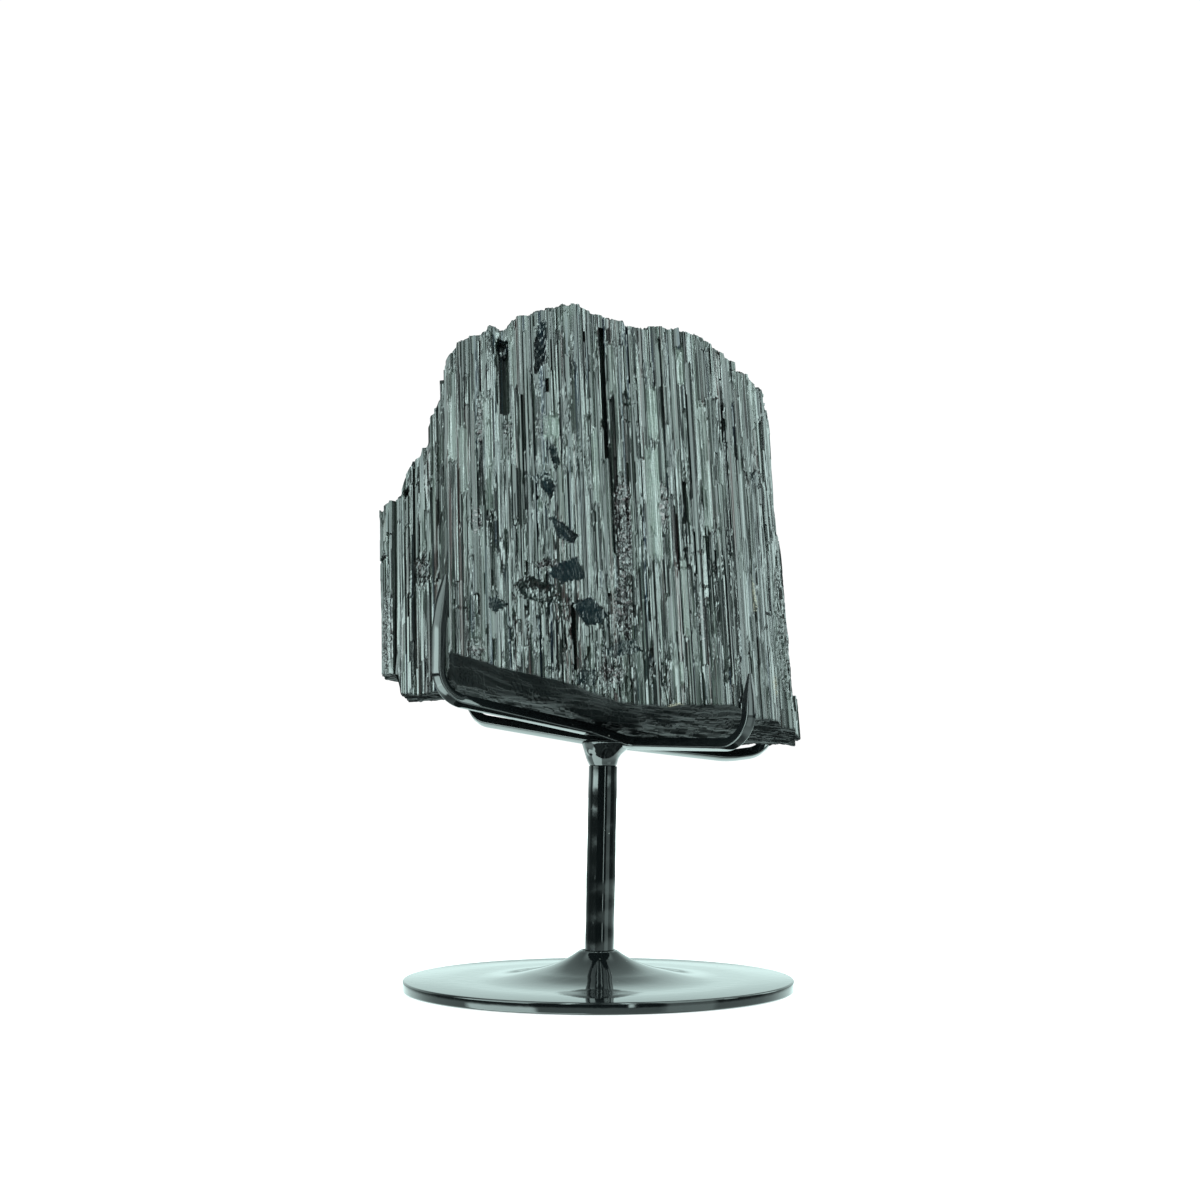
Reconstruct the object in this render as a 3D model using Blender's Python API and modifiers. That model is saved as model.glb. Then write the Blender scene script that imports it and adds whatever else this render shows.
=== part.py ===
"""A black tourmaline crystal held by a bent-bar stand.

Metres, +Z up. The origin is under the middle of the foot disc, and the front of the crystal faces -Y.
Sizes are written in millimetres and multiplied by MM.
"""
import math
import random

import bmesh
import bpy
from mathutils import Matrix, Vector

MM = 0.001
GAP = 0.3

# Foot: a turned disc whose top sweeps up into a neck
DISC_RADIUS = 57.15
DISC_THICKNESS = 3.2
RIM_ROUNDING = 0.5
NECK_RADIUS = 5.6
NECK_HEIGHT = 7.9
FLARE_RADIUS = 31.0
FLARE_FALL = 10.5
FLARE_STEPS = 9
SOCKET_FLOOR = 4.2
SOCKET_RADIUS = 4.65
COUNTERSINK = 0.7
COUNTERSINK_WIDTH = 0.4
NECK_LIP = 0.1
NECK_EDGE = 0.25
FOOT_SEGMENTS = 56

# Post: a round rod that leans to the right
POST_RADIUS = 4.1
POST_FOOT_X = 0.2
POST_HEAD = Vector((1.4, 0.0, 65.0))
POST_SIDES = 32

# Weld lump under the two bars
WELD_FOOT_Z = POST_HEAD.z + GAP
WELD_HEAD_Z = 72.1
WELD_HEAD_CENTRE = Vector((1.6, -1.0))
WELD_HEAD_RADII = Vector((9.4, 8.0))
WELD_FOOT_RADIUS = 4.6
WELD_SWELL = 1.7
WELD_LUMPS = 0.07
WELD_SIDES = 10

# Cradle: two square bars, 3.2 mm across the flats
BAR_WIDTH = 3.2
BAR_ROLL = math.radians(22.0)
BEND_RADIUS = 8.5
BEND_STEPS = 7
TIP_LENGTH = 7.0
TIP_SCALE = 0.4
LONGEST_FILLET = 0.45
BAR_CLEARANCE = 0.45
FRONT_BAR = [
    ((-43.1, -31.9, 118.4), 0.0),
    ((-44.6, -34.6, 103.0), 30.0),
    ((-44.3, -37.6, 83.4), BEND_RADIUS),
    ((-2.6, -7.6, 75.7), 6.0),
    ((9.6, -5.4, 71.6), 5.0),
    ((41.2, -38.6, 70.4), BEND_RADIUS),
    ((42.2, -36.2, 90.2), 0.0),
]
BACK_BAR = [
    ((-41.8, 33.4, 112.0), 0.0),
    ((-39.8, 27.2, 80.6), BEND_RADIUS),
    ((0.4, 2.4, 72.7), 6.0),
    ((40.5, 24.6, 68.8), 20.0),
    ((54.2, 28.0, 70.3), BEND_RADIUS),
    ((53.4, 32.6, 96.0), 0.0),
]

# Crystal: its columns run along its own Z, which leans back and a little to the left
CRYSTAL_ORIGIN = Vector((0.0, -4.0, 74.0))
LEAN_BACK = math.radians(-10.0)
LEAN_LEFT = math.radians(-2.4)
COLUMN_FOOT = -30.0
SLAB_FOOT = -50.0
PLAN = [
    (-41.0, -31.0), (-20.0, -32.6), (0.0, -33.2), (20.0, -32.8), (41.5, -31.0), (50.0, -24.0),
    (55.2, -13.0), (57.0, 0.0), (56.6, 17.0), (53.0, 26.6), (40.0, 30.5), (10.0, 31.5),
    (-20.0, 31.0), (-44.0, 28.5), (-50.0, 20.0), (-57.0, 13.0), (-62.6, 6.0), (-63.2, -3.0),
    (-61.4, -11.0), (-55.0, -14.5), (-47.6, -16.5), (-43.8, -20.0), (-42.0, -26.0),
]
# Height of the broken top along the face, from left to right
CREST = [
    (-66.0, 74.5), (-56.4, 74.5), (-55.2, 80.0), (-53.4, 85.0), (-50.3, 87.5), (-47.6, 91.5),
    (-46.6, 98.6), (-44.2, 101.8), (-42.2, 107.0), (-39.4, 112.0), (-36.8, 115.0), (-30.7, 115.8),
    (-27.1, 118.8), (-22.7, 117.6), (-18.1, 121.6), (-9.1, 124.0), (-5.5, 125.0), (2.8, 121.5),
    (13.9, 117.3), (21.9, 116.4), (30.7, 114.8), (36.4, 112.2), (41.1, 107.5), (46.6, 104.0),
    (54.9, 102.5), (60.0, 94.0),
]
CREST_FALL_BACK = 0.13
CREST_ROUGHNESS = 2.2
FRONT_Y = -33.0
FACE_BULGE = 0.0011
BACK_OF_FACE = -24.0
ROUND_ENDS = 36.0
# Height of the broken foot along the front face, from left to right
BREAK_EDGE = [
    (-70.0, 19.0), (-58.0, 18.0), (-56.0, 12.0), (-43.5, 12.0), (-42.5, 22.5), (-26.7, 14.4),
    (-10.0, 9.4), (6.3, 1.6), (28.0, -2.2), (38.0, -3.8), (47.0, -4.2), (70.0, -3.6),
]
BREAK_REACH = 9.0
BREAK_ROUGHNESS = 0.9
# Broken foot behind the face: height at the middle, fall to the right, slope and curve to the back
BREAK_FLOOR = 3.5
BREAK_FALL_RIGHT = 0.17
BREAK_SLOPE = 0.05
BREAK_CURVE = 0.0025
# The left part is broken off higher: where it starts, over what width, from how deep, how steeply
LEFT_RISE = (-15.0, 25.0, -12.0, 0.11)
# Further steps and slopes of the foot along its width
FOOT_STEPS = [
    (-70.0, 4.8), (-57.6, 4.8), (-57.0, -1.2), (-43.5, 1.4), (-40.5, 1.6), (-40.0, 0.0), (34.0, 0.0),
    (46.0, 2.2), (70.0, 2.6),
]
SLAB_HALF_WIDTH = 72.0
SLAB_HALF_DEPTH = 42.0
EDGE_PITCH = 5.4
EDGE_RADII = (3.5, 4.6)
INNER_PITCH = 10.0
INNER_RADIUS = 8.2
INNER_MARGIN = 6.6
INNER_REACH = 80.0
HEX_ROWS = 0.87
SET_IN = 0.85
SEED_COLUMN = (4.0, 0.0, 20.0, 90.0)
# Front columns by eye: middle, radius, height (0 follows the crest), how far the face stands back
FRONT_COLUMNS = [
    (-39.4, 2.7, 0, 0.6), (-35.4, 3.6, 0, 0.0), (-31.0, 2.4, 0, 0.6), (-27.3, 3.0, 0, 0.1),
    (-22.8, 2.2, 80.0, 0.9), (-19.2, 2.6, 0, 0.1), (-14.9, 3.5, 0, 0.6), (-10.5, 2.6, 0, -0.1),
    (-6.7, 3.2, 0, 0.3), (-2.5, 2.6, 0, 0.0), (1.6, 2.9, 0, 0.5), (6.0, 2.2, 75.0, 1.1),
    (9.8, 2.6, 0, 0.1), (13.7, 3.1, 0, 0.5), (17.6, 2.4, 0, 0.0), (21.5, 3.5, 0, -0.2),
    (25.4, 2.2, 0, 0.6), (28.6, 2.2, 52.0, 1.3), (32.0, 2.9, 0, 0.1), (35.8, 2.4, 0, 0.5),
    (39.3, 3.0, 0, 0.2),
    (-37.4, 1.6, 70.0, -0.6), (-30.0, 1.5, 96.0, -0.5), (-13.0, 1.8, 63.0, -0.7), (3.8, 1.4, 58.0, -0.4),
    (19.6, 3.0, 76.0, -0.8), (30.4, 1.6, 88.0, -0.5), (37.4, 1.5, 60.0, -0.4), (11.6, 1.5, 101.0, -0.5),
]
BACKING_Y = -24.5
BACKING_RADIUS = 5.6
BACKING_PITCH = 7.6
RIGHT_STEPS = [
    (53.9, -6.0, 3.6, 57.0), (55.0, -9.0, 3.6, 7.5), (53.4, 2.0, 4.4, 62.0),
]
# Hollows in the face: middle, half sizes, turn about the line of sight in degrees
HOLLOWS = [
    ((-15.8, -33.2, 36.8), (6.6, 4.4, 3.6), -18.0),
    ((-7.2, -33.0, 44.4), (5.8, 2.0, 4.0), 20.0),
    ((-1.2, -32.8, 31.0), (6.0, 2.2, 4.0), -24.0),
    ((-5.6, -32.6, 20.0), (1.0, 5.4, 10.0), 0.0),
    ((8.2, -32.6, 17.0), (5.2, 2.0, 3.2), 10.0),
    ((-13.4, -33.0, 69.0), (4.6, 2.4, 2.2), -8.0),
    ((-8.0, -33.2, 55.0), (1.6, 2.6, 5.2), -50.0),
    ((-28.0, -34.0, 113.0), (1.8, 5.0, 5.0), 0.0),
    ((40.6, -31.5, 79.0), (0.8, 4.0, 14.0), 0.0),
    ((28.6, -32.2, 67.0), (1.3, 3.6, 9.0), 0.0),
]


def collection(name):
    """A collection of its own in the scene."""
    made = bpy.data.collections.new(name)
    bpy.context.scene.collection.children.link(made)
    return made


def material(name, colour, roughness, metallic=0.0):
    """A plain Principled material."""
    made = bpy.data.materials.new(name)
    made.use_nodes = True
    surface = made.node_tree.nodes["Principled BSDF"]
    surface.inputs["Base Color"].default_value = (*colour, 1.0)
    surface.inputs["Roughness"].default_value = roughness
    surface.inputs["Metallic"].default_value = metallic
    return made


def add_object(name, data, home, finish=None):
    """Link an object that holds the given mesh or curve."""
    made = bpy.data.objects.new(name, data)
    home.objects.link(made)
    if finish:
        data.materials.append(finish)
    return made


def as_cutter(thing):
    """Show a cutter as wire and keep it out of renders."""
    thing.hide_render = True
    thing.display_type = "WIRE"
    return thing


def mesh_from(bm, name):
    """Finish a bmesh as a mesh with its faces pointing out."""
    bmesh.ops.recalc_face_normals(bm, faces=bm.faces)
    mesh = bpy.data.meshes.new(name)
    bm.to_mesh(mesh)
    bm.free()
    return mesh


def boolean(target, tool, operation, use_self=False, solver="EXACT"):
    """Join or cut the target with a closed tool."""
    step = target.modifiers.new(tool.name, "BOOLEAN")
    step.object = tool
    step.operation = operation
    step.solver = solver
    if solver == "EXACT":
        step.use_self = use_self
    return step


def along(points, x):
    """Height of a line of (x, height) points at x."""
    if x <= points[0][0]:
        return points[0][1]
    for (x0, h0), (x1, h1) in zip(points, points[1:]):
        if x <= x1:
            return h0 + (h1 - h0) * (x - x0) / (x1 - x0)
    return points[-1][1]


def flare_height(radius):
    """Height of the flared neck above the disc's top at a radius."""
    at_rim = math.exp((NECK_RADIUS - FLARE_RADIUS) / FLARE_FALL)
    here = math.exp((NECK_RADIUS - radius) / FLARE_FALL)
    return NECK_HEIGHT * (here - at_rim) / (1.0 - at_rim)


def foot_profile():
    """Radius and height down the foot's outer side, from the socket's floor to the underside."""
    neck_top = DISC_THICKNESS + NECK_HEIGHT
    points = [(0.0, SOCKET_FLOOR), (SOCKET_RADIUS, SOCKET_FLOOR), (SOCKET_RADIUS, neck_top - COUNTERSINK)]
    points += [(SOCKET_RADIUS + COUNTERSINK_WIDTH, neck_top), (NECK_RADIUS - NECK_EDGE, neck_top + NECK_LIP)]
    for i in range(FLARE_STEPS + 1):
        radius = NECK_RADIUS + (FLARE_RADIUS - NECK_RADIUS) * (i / FLARE_STEPS) ** 1.5
        points.append((radius, DISC_THICKNESS + flare_height(radius)))
    points += [(DISC_RADIUS - RIM_ROUNDING, DISC_THICKNESS), (DISC_RADIUS, DISC_THICKNESS - RIM_ROUNDING)]
    points += [(DISC_RADIUS, RIM_ROUNDING), (DISC_RADIUS - RIM_ROUNDING, 0.0), (0.0, 0.0)]
    return points


def build_base(home, finish):
    """The foot disc with its neck and socket, turned about Z."""
    bm = bmesh.new()
    verts = [bm.verts.new((radius * MM, 0.0, height * MM)) for radius, height in foot_profile()]
    for first, second in zip(verts, verts[1:]):
        bm.edges.new((first, second))
    mesh = bpy.data.meshes.new("base")
    bm.to_mesh(mesh)
    bm.free()
    base = add_object("base", mesh, home, finish)
    screw = base.modifiers.new("Turn", "SCREW")
    screw.steps = FOOT_SEGMENTS
    screw.render_steps = FOOT_SEGMENTS
    screw.use_merge_vertices = True
    screw.merge_threshold = 0.00001
    screw.use_smooth_shade = True
    return base


def build_post(home, finish):
    """The round post from the socket's floor to the weld."""
    foot = Vector((POST_FOOT_X, 0.0, SOCKET_FLOOR + GAP)) * MM
    head = POST_HEAD * MM
    way = head - foot
    bm = bmesh.new()
    bmesh.ops.create_cone(bm, cap_ends=True, segments=POST_SIDES, radius1=POST_RADIUS * MM,
                          radius2=POST_RADIUS * MM, depth=way.length)
    mesh = mesh_from(bm, "post")
    mesh.shade_smooth()
    mesh.set_sharp_from_angle(angle=math.radians(40.0))
    post = add_object("post", mesh, home, finish)
    post.location = (foot + head) / 2
    post.rotation_euler = way.to_track_quat("Z", "Y").to_euler()
    return post


def rounded_route(corners):
    """Points along straight runs whose corners are rounded by arcs."""
    points = [Vector(corners[0][0])]
    for (before, _), (here, radius), (after, _) in zip(corners, corners[1:], corners[2:]):
        corner = Vector(here)
        back = (Vector(before) - corner).normalized()
        ahead = (Vector(after) - corner).normalized()
        half = back.angle(ahead) / 2
        cut = min(radius / math.tan(half), LONGEST_FILLET * (Vector(after) - corner).length)
        middle = corner + (back + ahead).normalized() * cut / math.cos(half)
        start = corner + back * cut - middle
        end = corner + ahead * cut - middle
        for i in range(BEND_STEPS + 1):
            outward = start.normalized().slerp(end.normalized(), i / BEND_STEPS)
            points.append(middle + outward * start.length)
    points.append(Vector(corners[-1][0]))
    return points


def with_tips(points):
    """Add the points where each tip starts to taper, with the scale of the bar at every point."""
    first = points[0] + (points[1] - points[0]).normalized() * TIP_LENGTH
    last = points[-1] + (points[-2] - points[-1]).normalized() * TIP_LENGTH
    route = [points[0], first, *points[1:-1], last, points[-1]]
    scales = [TIP_SCALE] + [1.0] * (len(route) - 2) + [TIP_SCALE]
    return route, scales


def bar_curve(name, corners, half_diagonal):
    """A square bar swept along its route, as a curve."""
    route, scales = with_tips(rounded_route(corners))
    curve = bpy.data.curves.new(name, "CURVE")
    curve.dimensions = "3D"
    curve.twist_mode = "MINIMUM"
    curve.bevel_depth = half_diagonal * MM
    curve.bevel_resolution = 0
    curve.use_fill_caps = True
    spline = curve.splines.new("POLY")
    spline.points.add(len(route) - 1)
    for point, place, scale in zip(spline.points, route, scales):
        point.co = (*(place * MM), 1.0)
        point.radius = scale
        point.tilt = BAR_ROLL
    return curve


def build_bar(name, corners, home, finish):
    """One bent bar of the cradle."""
    return add_object(name, bar_curve(name, corners, BAR_WIDTH / math.sqrt(2)), home, finish)


def bar_clearance(name, corners, home):
    """A slightly thicker bar, made a closed mesh, that keeps the neighbours clear."""
    half_diagonal = BAR_WIDTH / math.sqrt(2) + BAR_CLEARANCE
    thick = add_object(name + "_curve", bar_curve(name, corners, half_diagonal), home)
    bpy.context.view_layer.update()
    evaluated = thick.evaluated_get(bpy.context.evaluated_depsgraph_get())
    mesh = bpy.data.meshes.new_from_object(evaluated)
    bpy.data.objects.remove(thick)
    bm = bmesh.new()
    bm.from_mesh(mesh)
    bmesh.ops.remove_doubles(bm, verts=bm.verts, dist=0.00001)
    bmesh.ops.recalc_face_normals(bm, faces=bm.faces)
    bm.to_mesh(mesh)
    bm.free()
    return as_cutter(add_object(name, mesh, home))


def build_weld(home, finish, clearances):
    """The lump of weld that carries both bars, narrow at the post and wide under the bars."""
    bm = bmesh.new()
    bmesh.ops.create_cone(bm, cap_ends=True, segments=WELD_SIDES, radius1=1.0, radius2=1.0, depth=1.0)
    uprights = [edge for edge in bm.edges if edge.verts[0].co.z * edge.verts[1].co.z < 0.0]
    bmesh.ops.subdivide_edges(bm, edges=uprights, cuts=2, use_grid_fill=True)
    dice = random.Random(3)
    for vert in bm.verts:
        rise = vert.co.z + 0.5
        swell = rise ** WELD_SWELL
        wide = WELD_FOOT_RADIUS * (1 - swell)
        lump = 1.0 + dice.uniform(-WELD_LUMPS, WELD_LUMPS)
        centre = Vector((POST_HEAD.x, 0.0)).lerp(WELD_HEAD_CENTRE, rise)
        vert.co.x = centre.x + vert.co.x * (wide + WELD_HEAD_RADII.x * swell) * lump
        vert.co.y = centre.y + vert.co.y * (wide + WELD_HEAD_RADII.y * swell) * lump
        vert.co.z = WELD_FOOT_Z + (WELD_HEAD_Z - WELD_FOOT_Z) * rise
    bmesh.ops.scale(bm, vec=(MM, MM, MM), verts=bm.verts)
    weld = add_object("weld", mesh_from(bm, "weld"), home, finish)
    for clearance in clearances:
        boolean(weld, clearance, "DIFFERENCE")
    return weld


def add_column(bm, x, y, radius, top, dice, sides=6):
    """One column standing on the crystal's own XY plane, with a tilted, broken top."""
    foot = COLUMN_FOOT - dice.uniform(0.0, 3.0)
    turn = Matrix.Rotation(dice.uniform(-0.16, 0.16), 4, "Z")
    place = Matrix.Translation(Vector((x, y, (top + foot) / 2)) * MM)
    made = bmesh.ops.create_cone(bm, cap_ends=True, segments=sides, radius1=radius * MM,
                                 radius2=radius * MM, depth=(top - foot) * MM, matrix=place @ turn)
    slope = Vector((dice.uniform(-0.16, 0.16), dice.uniform(-0.1, 0.25)))
    middle = Vector((x, y)) * MM
    for vert in made["verts"]:
        if vert.co.z > foot * MM / 2:
            vert.co.z += slope.dot(vert.co.xy - middle)


def crest_at(x, y, radius=0.0):
    """Height of the broken top over a point of the plan, or of a column whose outer edge it fits."""
    back = max(0.0, y - BACK_OF_FACE)
    outer = x + math.copysign(0.3 * radius, x) if abs(x) > ROUND_ENDS else x
    return along(CREST, outer) - CREST_FALL_BACK * back


def plan_walk(pitch):
    """Places along the plan's outline, each with the direction that points into the crystal."""
    for (x0, y0), (x1, y1) in zip(PLAN, PLAN[1:] + PLAN[:1]):
        run = Vector((x1 - x0, y1 - y0))
        count = max(1, round(run.length / pitch))
        inward = Vector((-run.y, run.x)).normalized()
        for i in range(count):
            yield Vector((x0, y0)) + run * (i + 0.5) / count, inward


def inside_plan(x, y):
    """Whether a point lies inside the plan's outline."""
    crossings = 0
    for (x0, y0), (x1, y1) in zip(PLAN, PLAN[1:] + PLAN[:1]):
        if (y0 > y) != (y1 > y) and x < x0 + (x1 - x0) * (y - y0) / (y1 - y0):
            crossings += 1
    return crossings % 2 == 1


def edge_distance(x, y):
    """Distance from a point to the plan's outline."""
    here = Vector((x, y))
    nearest = 1000.0
    for (x0, y0), (x1, y1) in zip(PLAN, PLAN[1:] + PLAN[:1]):
        start = Vector((x0, y0))
        run = Vector((x1, y1)) - start
        share = min(1.0, max(0.0, (here - start).dot(run) / run.length_squared))
        nearest = min(nearest, (here - start - run * share).length)
    return nearest


def column_bundle():
    """Every column of the crystal in one mesh, still overlapping."""
    dice = random.Random(11)
    bm = bmesh.new()
    rows = int(INNER_REACH / INNER_PITCH)
    for row in range(-rows, rows):
        for step in range(-rows, rows):
            x = (step + 0.5 * (row % 2)) * INNER_PITCH
            y = row * INNER_PITCH * HEX_ROWS
            if inside_plan(x, y) and edge_distance(x, y) > INNER_MARGIN:
                top = crest_at(x, y, INNER_RADIUS) - dice.uniform(0.2, 2 * CREST_ROUGHNESS)
                beside = [crest_at(x + side * INNER_PITCH / 2, y) for side in (-1, 1)]
                add_column(bm, x, y, INNER_RADIUS, min(top, *beside), dice)
    for place, inward in plan_walk(EDGE_PITCH):
        on_front = place.y < -30.0
        radius = dice.uniform(*EDGE_RADII)
        centre = place + inward * radius * SET_IN
        top = crest_at(centre.x, centre.y, radius) + dice.uniform(-CREST_ROUGHNESS, 0.4)
        if not on_front:
            add_column(bm, centre.x, centre.y, radius, top, dice, dice.choice((5, 6, 6, 7)))
    for step in range(-5, 6):
        x = step * BACKING_PITCH
        add_column(bm, x, BACKING_Y, BACKING_RADIUS, crest_at(x, BACKING_Y, BACKING_RADIUS) - 1.0, dice)
    for x, radius, height, back in FRONT_COLUMNS:
        y = FRONT_Y + FACE_BULGE * x * x + back + radius * math.cos(math.radians(30.0))
        add_column(bm, x, y, radius, height or crest_at(x, y, radius), dice)
    for x, y, radius, top in RIGHT_STEPS:
        add_column(bm, x, y, radius, top, dice)
    return mesh_from(bm, "columns")


def break_height(x, y):
    """Height of the crystal's broken foot over a point of the plan."""
    floor = BREAK_FLOOR - BREAK_FALL_RIGHT * x + BREAK_SLOPE * y + BREAK_CURVE * y * y
    start, width, depth, slope = LEFT_RISE
    floor += min(1.0, max(0.0, (start - x) / width)) * max(0.0, y - depth) * slope
    floor += along(FOOT_STEPS, x)
    share = 1.0 - math.exp(-max(0.0, y - FRONT_Y) / BREAK_REACH)
    return along(BREAK_EDGE, x) * (1.0 - share) + floor * share


def break_cutter(home):
    """A slab whose rough top is the crystal's broken foot."""
    bm = bmesh.new()
    bmesh.ops.create_grid(bm, x_segments=24, y_segments=14, size=1.0)
    dice = random.Random(5)
    top_verts = list(bm.verts)
    for vert in top_verts:
        x = vert.co.x * SLAB_HALF_WIDTH
        y = vert.co.y * SLAB_HALF_DEPTH
        rough = dice.uniform(-BREAK_ROUGHNESS, BREAK_ROUGHNESS)
        vert.co = Vector((x, y, break_height(x, y) + rough)) * MM
    under = bmesh.ops.extrude_face_region(bm, geom=list(bm.faces))
    for item in under["geom"]:
        if isinstance(item, bmesh.types.BMVert):
            item.co.z = SLAB_FOOT * MM
    return as_cutter(add_object("foot_break", mesh_from(bm, "foot_break"), home))


def hollow_cutter(home):
    """The chips, pits and slots in the crystal's face."""
    bm = bmesh.new()
    for middle, half, turn in HOLLOWS:
        scale = Matrix.Diagonal((*(Vector(half) * MM), 1.0))
        place = Matrix.Translation(Vector(middle) * MM) @ Matrix.Rotation(math.radians(turn), 4, "Y") @ scale
        bmesh.ops.create_icosphere(bm, subdivisions=1, radius=1.0, matrix=place)
    return as_cutter(add_object("hollows", mesh_from(bm, "hollows"), home))


def build_crystal(home, cutters, finish, clearances):
    """The columns joined into one solid, broken at the foot and chipped in front."""
    frame = bpy.data.objects.new("crystal_frame", None)
    home.objects.link(frame)
    frame.location = CRYSTAL_ORIGIN * MM
    frame.rotation_euler = (Matrix.Rotation(LEAN_LEFT, 3, "Y") @ Matrix.Rotation(LEAN_BACK, 3, "X")).to_euler()
    bm = bmesh.new()
    add_column(bm, *SEED_COLUMN, random.Random(2))
    crystal = add_object("crystal", mesh_from(bm, "crystal"), home, finish)
    columns = as_cutter(add_object("columns", column_bundle(), cutters))
    foot_break = break_cutter(cutters)
    hollows = hollow_cutter(cutters)
    for thing in (crystal, columns, foot_break, hollows):
        thing.parent = frame
    boolean(crystal, columns, "UNION", use_self=True)
    boolean(crystal, foot_break, "DIFFERENCE")
    for cutter in (hollows, *clearances):
        boolean(crystal, cutter, "DIFFERENCE", solver="MANIFOLD")
    return crystal


def main():
    """Model the stand and the crystal."""
    for thing in list(bpy.data.objects):
        bpy.data.objects.remove(thing, do_unlink=True)
    parts = collection("tourmaline_crystal_on_stand")
    cutters = collection("cutters")
    enamel = material("black_enamel", (0.012, 0.014, 0.015), 0.16)
    stone = material("black_tourmaline", (0.035, 0.042, 0.04), 0.3)
    build_base(parts, enamel)
    build_post(parts, enamel)
    build_bar("front_cradle", FRONT_BAR, parts, enamel)
    build_bar("back_cradle", BACK_BAR, parts, enamel)
    front_clearance = bar_clearance("front_clearance", FRONT_BAR, cutters)
    back_clearance = bar_clearance("back_clearance", BACK_BAR, cutters)
    build_weld(parts, enamel, (front_clearance, back_clearance))
    build_crystal(parts, cutters, stone, (front_clearance, back_clearance))


main()
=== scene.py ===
"""The looks of a black tourmaline crystal on its black bar stand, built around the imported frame.

Metres, +Z up, in the frame's own place. Sizes are in millimetres and multiplied by MM.
"""

import math

import bmesh
import bpy
import numpy as np
from mathutils import Euler, Matrix, Vector


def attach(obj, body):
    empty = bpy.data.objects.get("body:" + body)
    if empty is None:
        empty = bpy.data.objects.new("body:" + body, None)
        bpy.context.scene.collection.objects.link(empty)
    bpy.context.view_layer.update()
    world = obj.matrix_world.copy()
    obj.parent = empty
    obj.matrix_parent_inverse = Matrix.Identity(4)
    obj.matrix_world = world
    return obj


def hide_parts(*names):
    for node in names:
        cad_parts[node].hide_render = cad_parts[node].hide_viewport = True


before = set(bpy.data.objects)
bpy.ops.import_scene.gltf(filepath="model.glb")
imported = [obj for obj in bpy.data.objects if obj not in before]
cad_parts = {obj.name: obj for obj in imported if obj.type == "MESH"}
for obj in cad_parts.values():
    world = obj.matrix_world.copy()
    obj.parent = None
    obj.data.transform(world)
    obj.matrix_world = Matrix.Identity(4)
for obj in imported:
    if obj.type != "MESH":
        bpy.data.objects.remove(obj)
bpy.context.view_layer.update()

MM = 0.001

# Foot: a turned disc whose top sweeps up into a neck
DISC_RADIUS = 57.15
DISC_THICKNESS = 3.2
RIM_ROUNDING = 0.55
NECK_RADIUS = 5.6
NECK_HEIGHT = 7.9
FLARE_RADIUS = 37.0
FLARE_FADE = 19.0
FLARE_FALL = 10.5
SOCKET_FLOOR = 4.2
FOOT_SEGMENTS = 256

# Post and weld
POST_RADIUS = 4.25
POST_FOOT = Vector((0.2, 0.0, 4.5))
POST_HEAD = Vector((1.4, 0.0, 65.0))
WELD_HEAD = Vector((1.6, -1.0, 72.0))
WELD_GRAIN = 0.3
# How far the weld reaches to the left and right of the post's axis as it rises
WELD_LEFT = [(0.0, 4.1), (0.25, 4.9), (0.6, 5.6), (1.0, 6.4)]
WELD_RIGHT = [(0.0, 4.1), (0.3, 4.6), (0.5, 5.5), (0.7, 7.0), (0.85, 8.6), (1.0, 10.2)]

# Cradle: two square bars
BAR_WIDTH = 3.05
BAR_EDGE = 0.42
# How far each bar's section is turned at its left and right end, in degrees, and where that settles
FRONT_ROLLS = (-38.0, -15.0)
BACK_ROLLS = (-21.0, -21.0)
ROLL_SPAN = 35.0
BEND_RADIUS = 8.5
BEND_STEPS = 16
TIP_LENGTH = 9.5
TIP_SCALE = 0.28
FRONT_BAR = [
    ((-43.1, -31.9, 118.4), 0.0),
    ((-44.6, -34.6, 103.4), 30.0),
    ((-44.3, -37.6, 83.9), BEND_RADIUS),
    ((-2.6, -7.6, 75.7), 6.0),
    ((9.6, -5.4, 71.6), 5.0),
    ((41.2, -38.6, 70.4), BEND_RADIUS),
    ((42.2, -36.2, 90.2), 0.0),
]
BACK_BAR = [
    ((-41.8, 33.4, 112.0), 0.0),
    ((-39.8, 27.2, 80.2), BEND_RADIUS),
    ((0.4, 2.4, 72.7), 6.0),
    ((40.5, 24.6, 68.5), 20.0),
    ((54.2, 28.0, 70.3), BEND_RADIUS),
    ((53.4, 32.6, 96.0), 0.0),
]

# Crystal: its own frame leans back and a little to the left
CRYSTAL_ORIGIN = Vector((0.0, -4.0, 74.0))
LEAN_BACK = math.radians(-10.0)
LEAN_LEFT = math.radians(-2.4)
PLAN = [
    (-41.0, -31.0), (-20.0, -32.6), (0.0, -33.2), (20.0, -32.8), (41.5, -31.0), (50.0, -24.0),
    (55.2, -13.0), (57.0, 0.0), (56.6, 17.0), (53.0, 26.6), (40.0, 30.5), (10.0, 31.5),
    (-20.0, 31.0), (-44.0, 28.5), (-50.0, 20.0), (-57.0, 13.0), (-63.4, 6.0), (-64.1, -3.0),
    (-62.2, -11.0), (-55.0, -14.5), (-47.6, -16.5), (-43.8, -20.0), (-42.0, -26.0),
]
CREST = [
    (-66.0, 74.5), (-56.4, 74.5), (-55.2, 80.0), (-53.4, 85.0), (-50.3, 86.5), (-48.0, 87.5),
    (-46.6, 96.5), (-44.2, 101.8), (-42.2, 107.0), (-39.4, 112.0), (-36.8, 115.0), (-30.7, 116.2),
    (-27.1, 119.2), (-24.7, 118.0), (-22.7, 119.6), (-21.0, 122.2), (-18.1, 122.2), (-9.1, 124.4),
    (-5.5, 126.2), (-1.3, 124.8), (2.8, 121.7), (12.7, 118.4), (18.0, 117.0), (21.9, 116.0), (30.7, 114.8),
    (36.4, 112.2), (41.1, 107.5), (46.6, 104.0), (54.9, 102.5), (60.0, 94.0),
]
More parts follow.
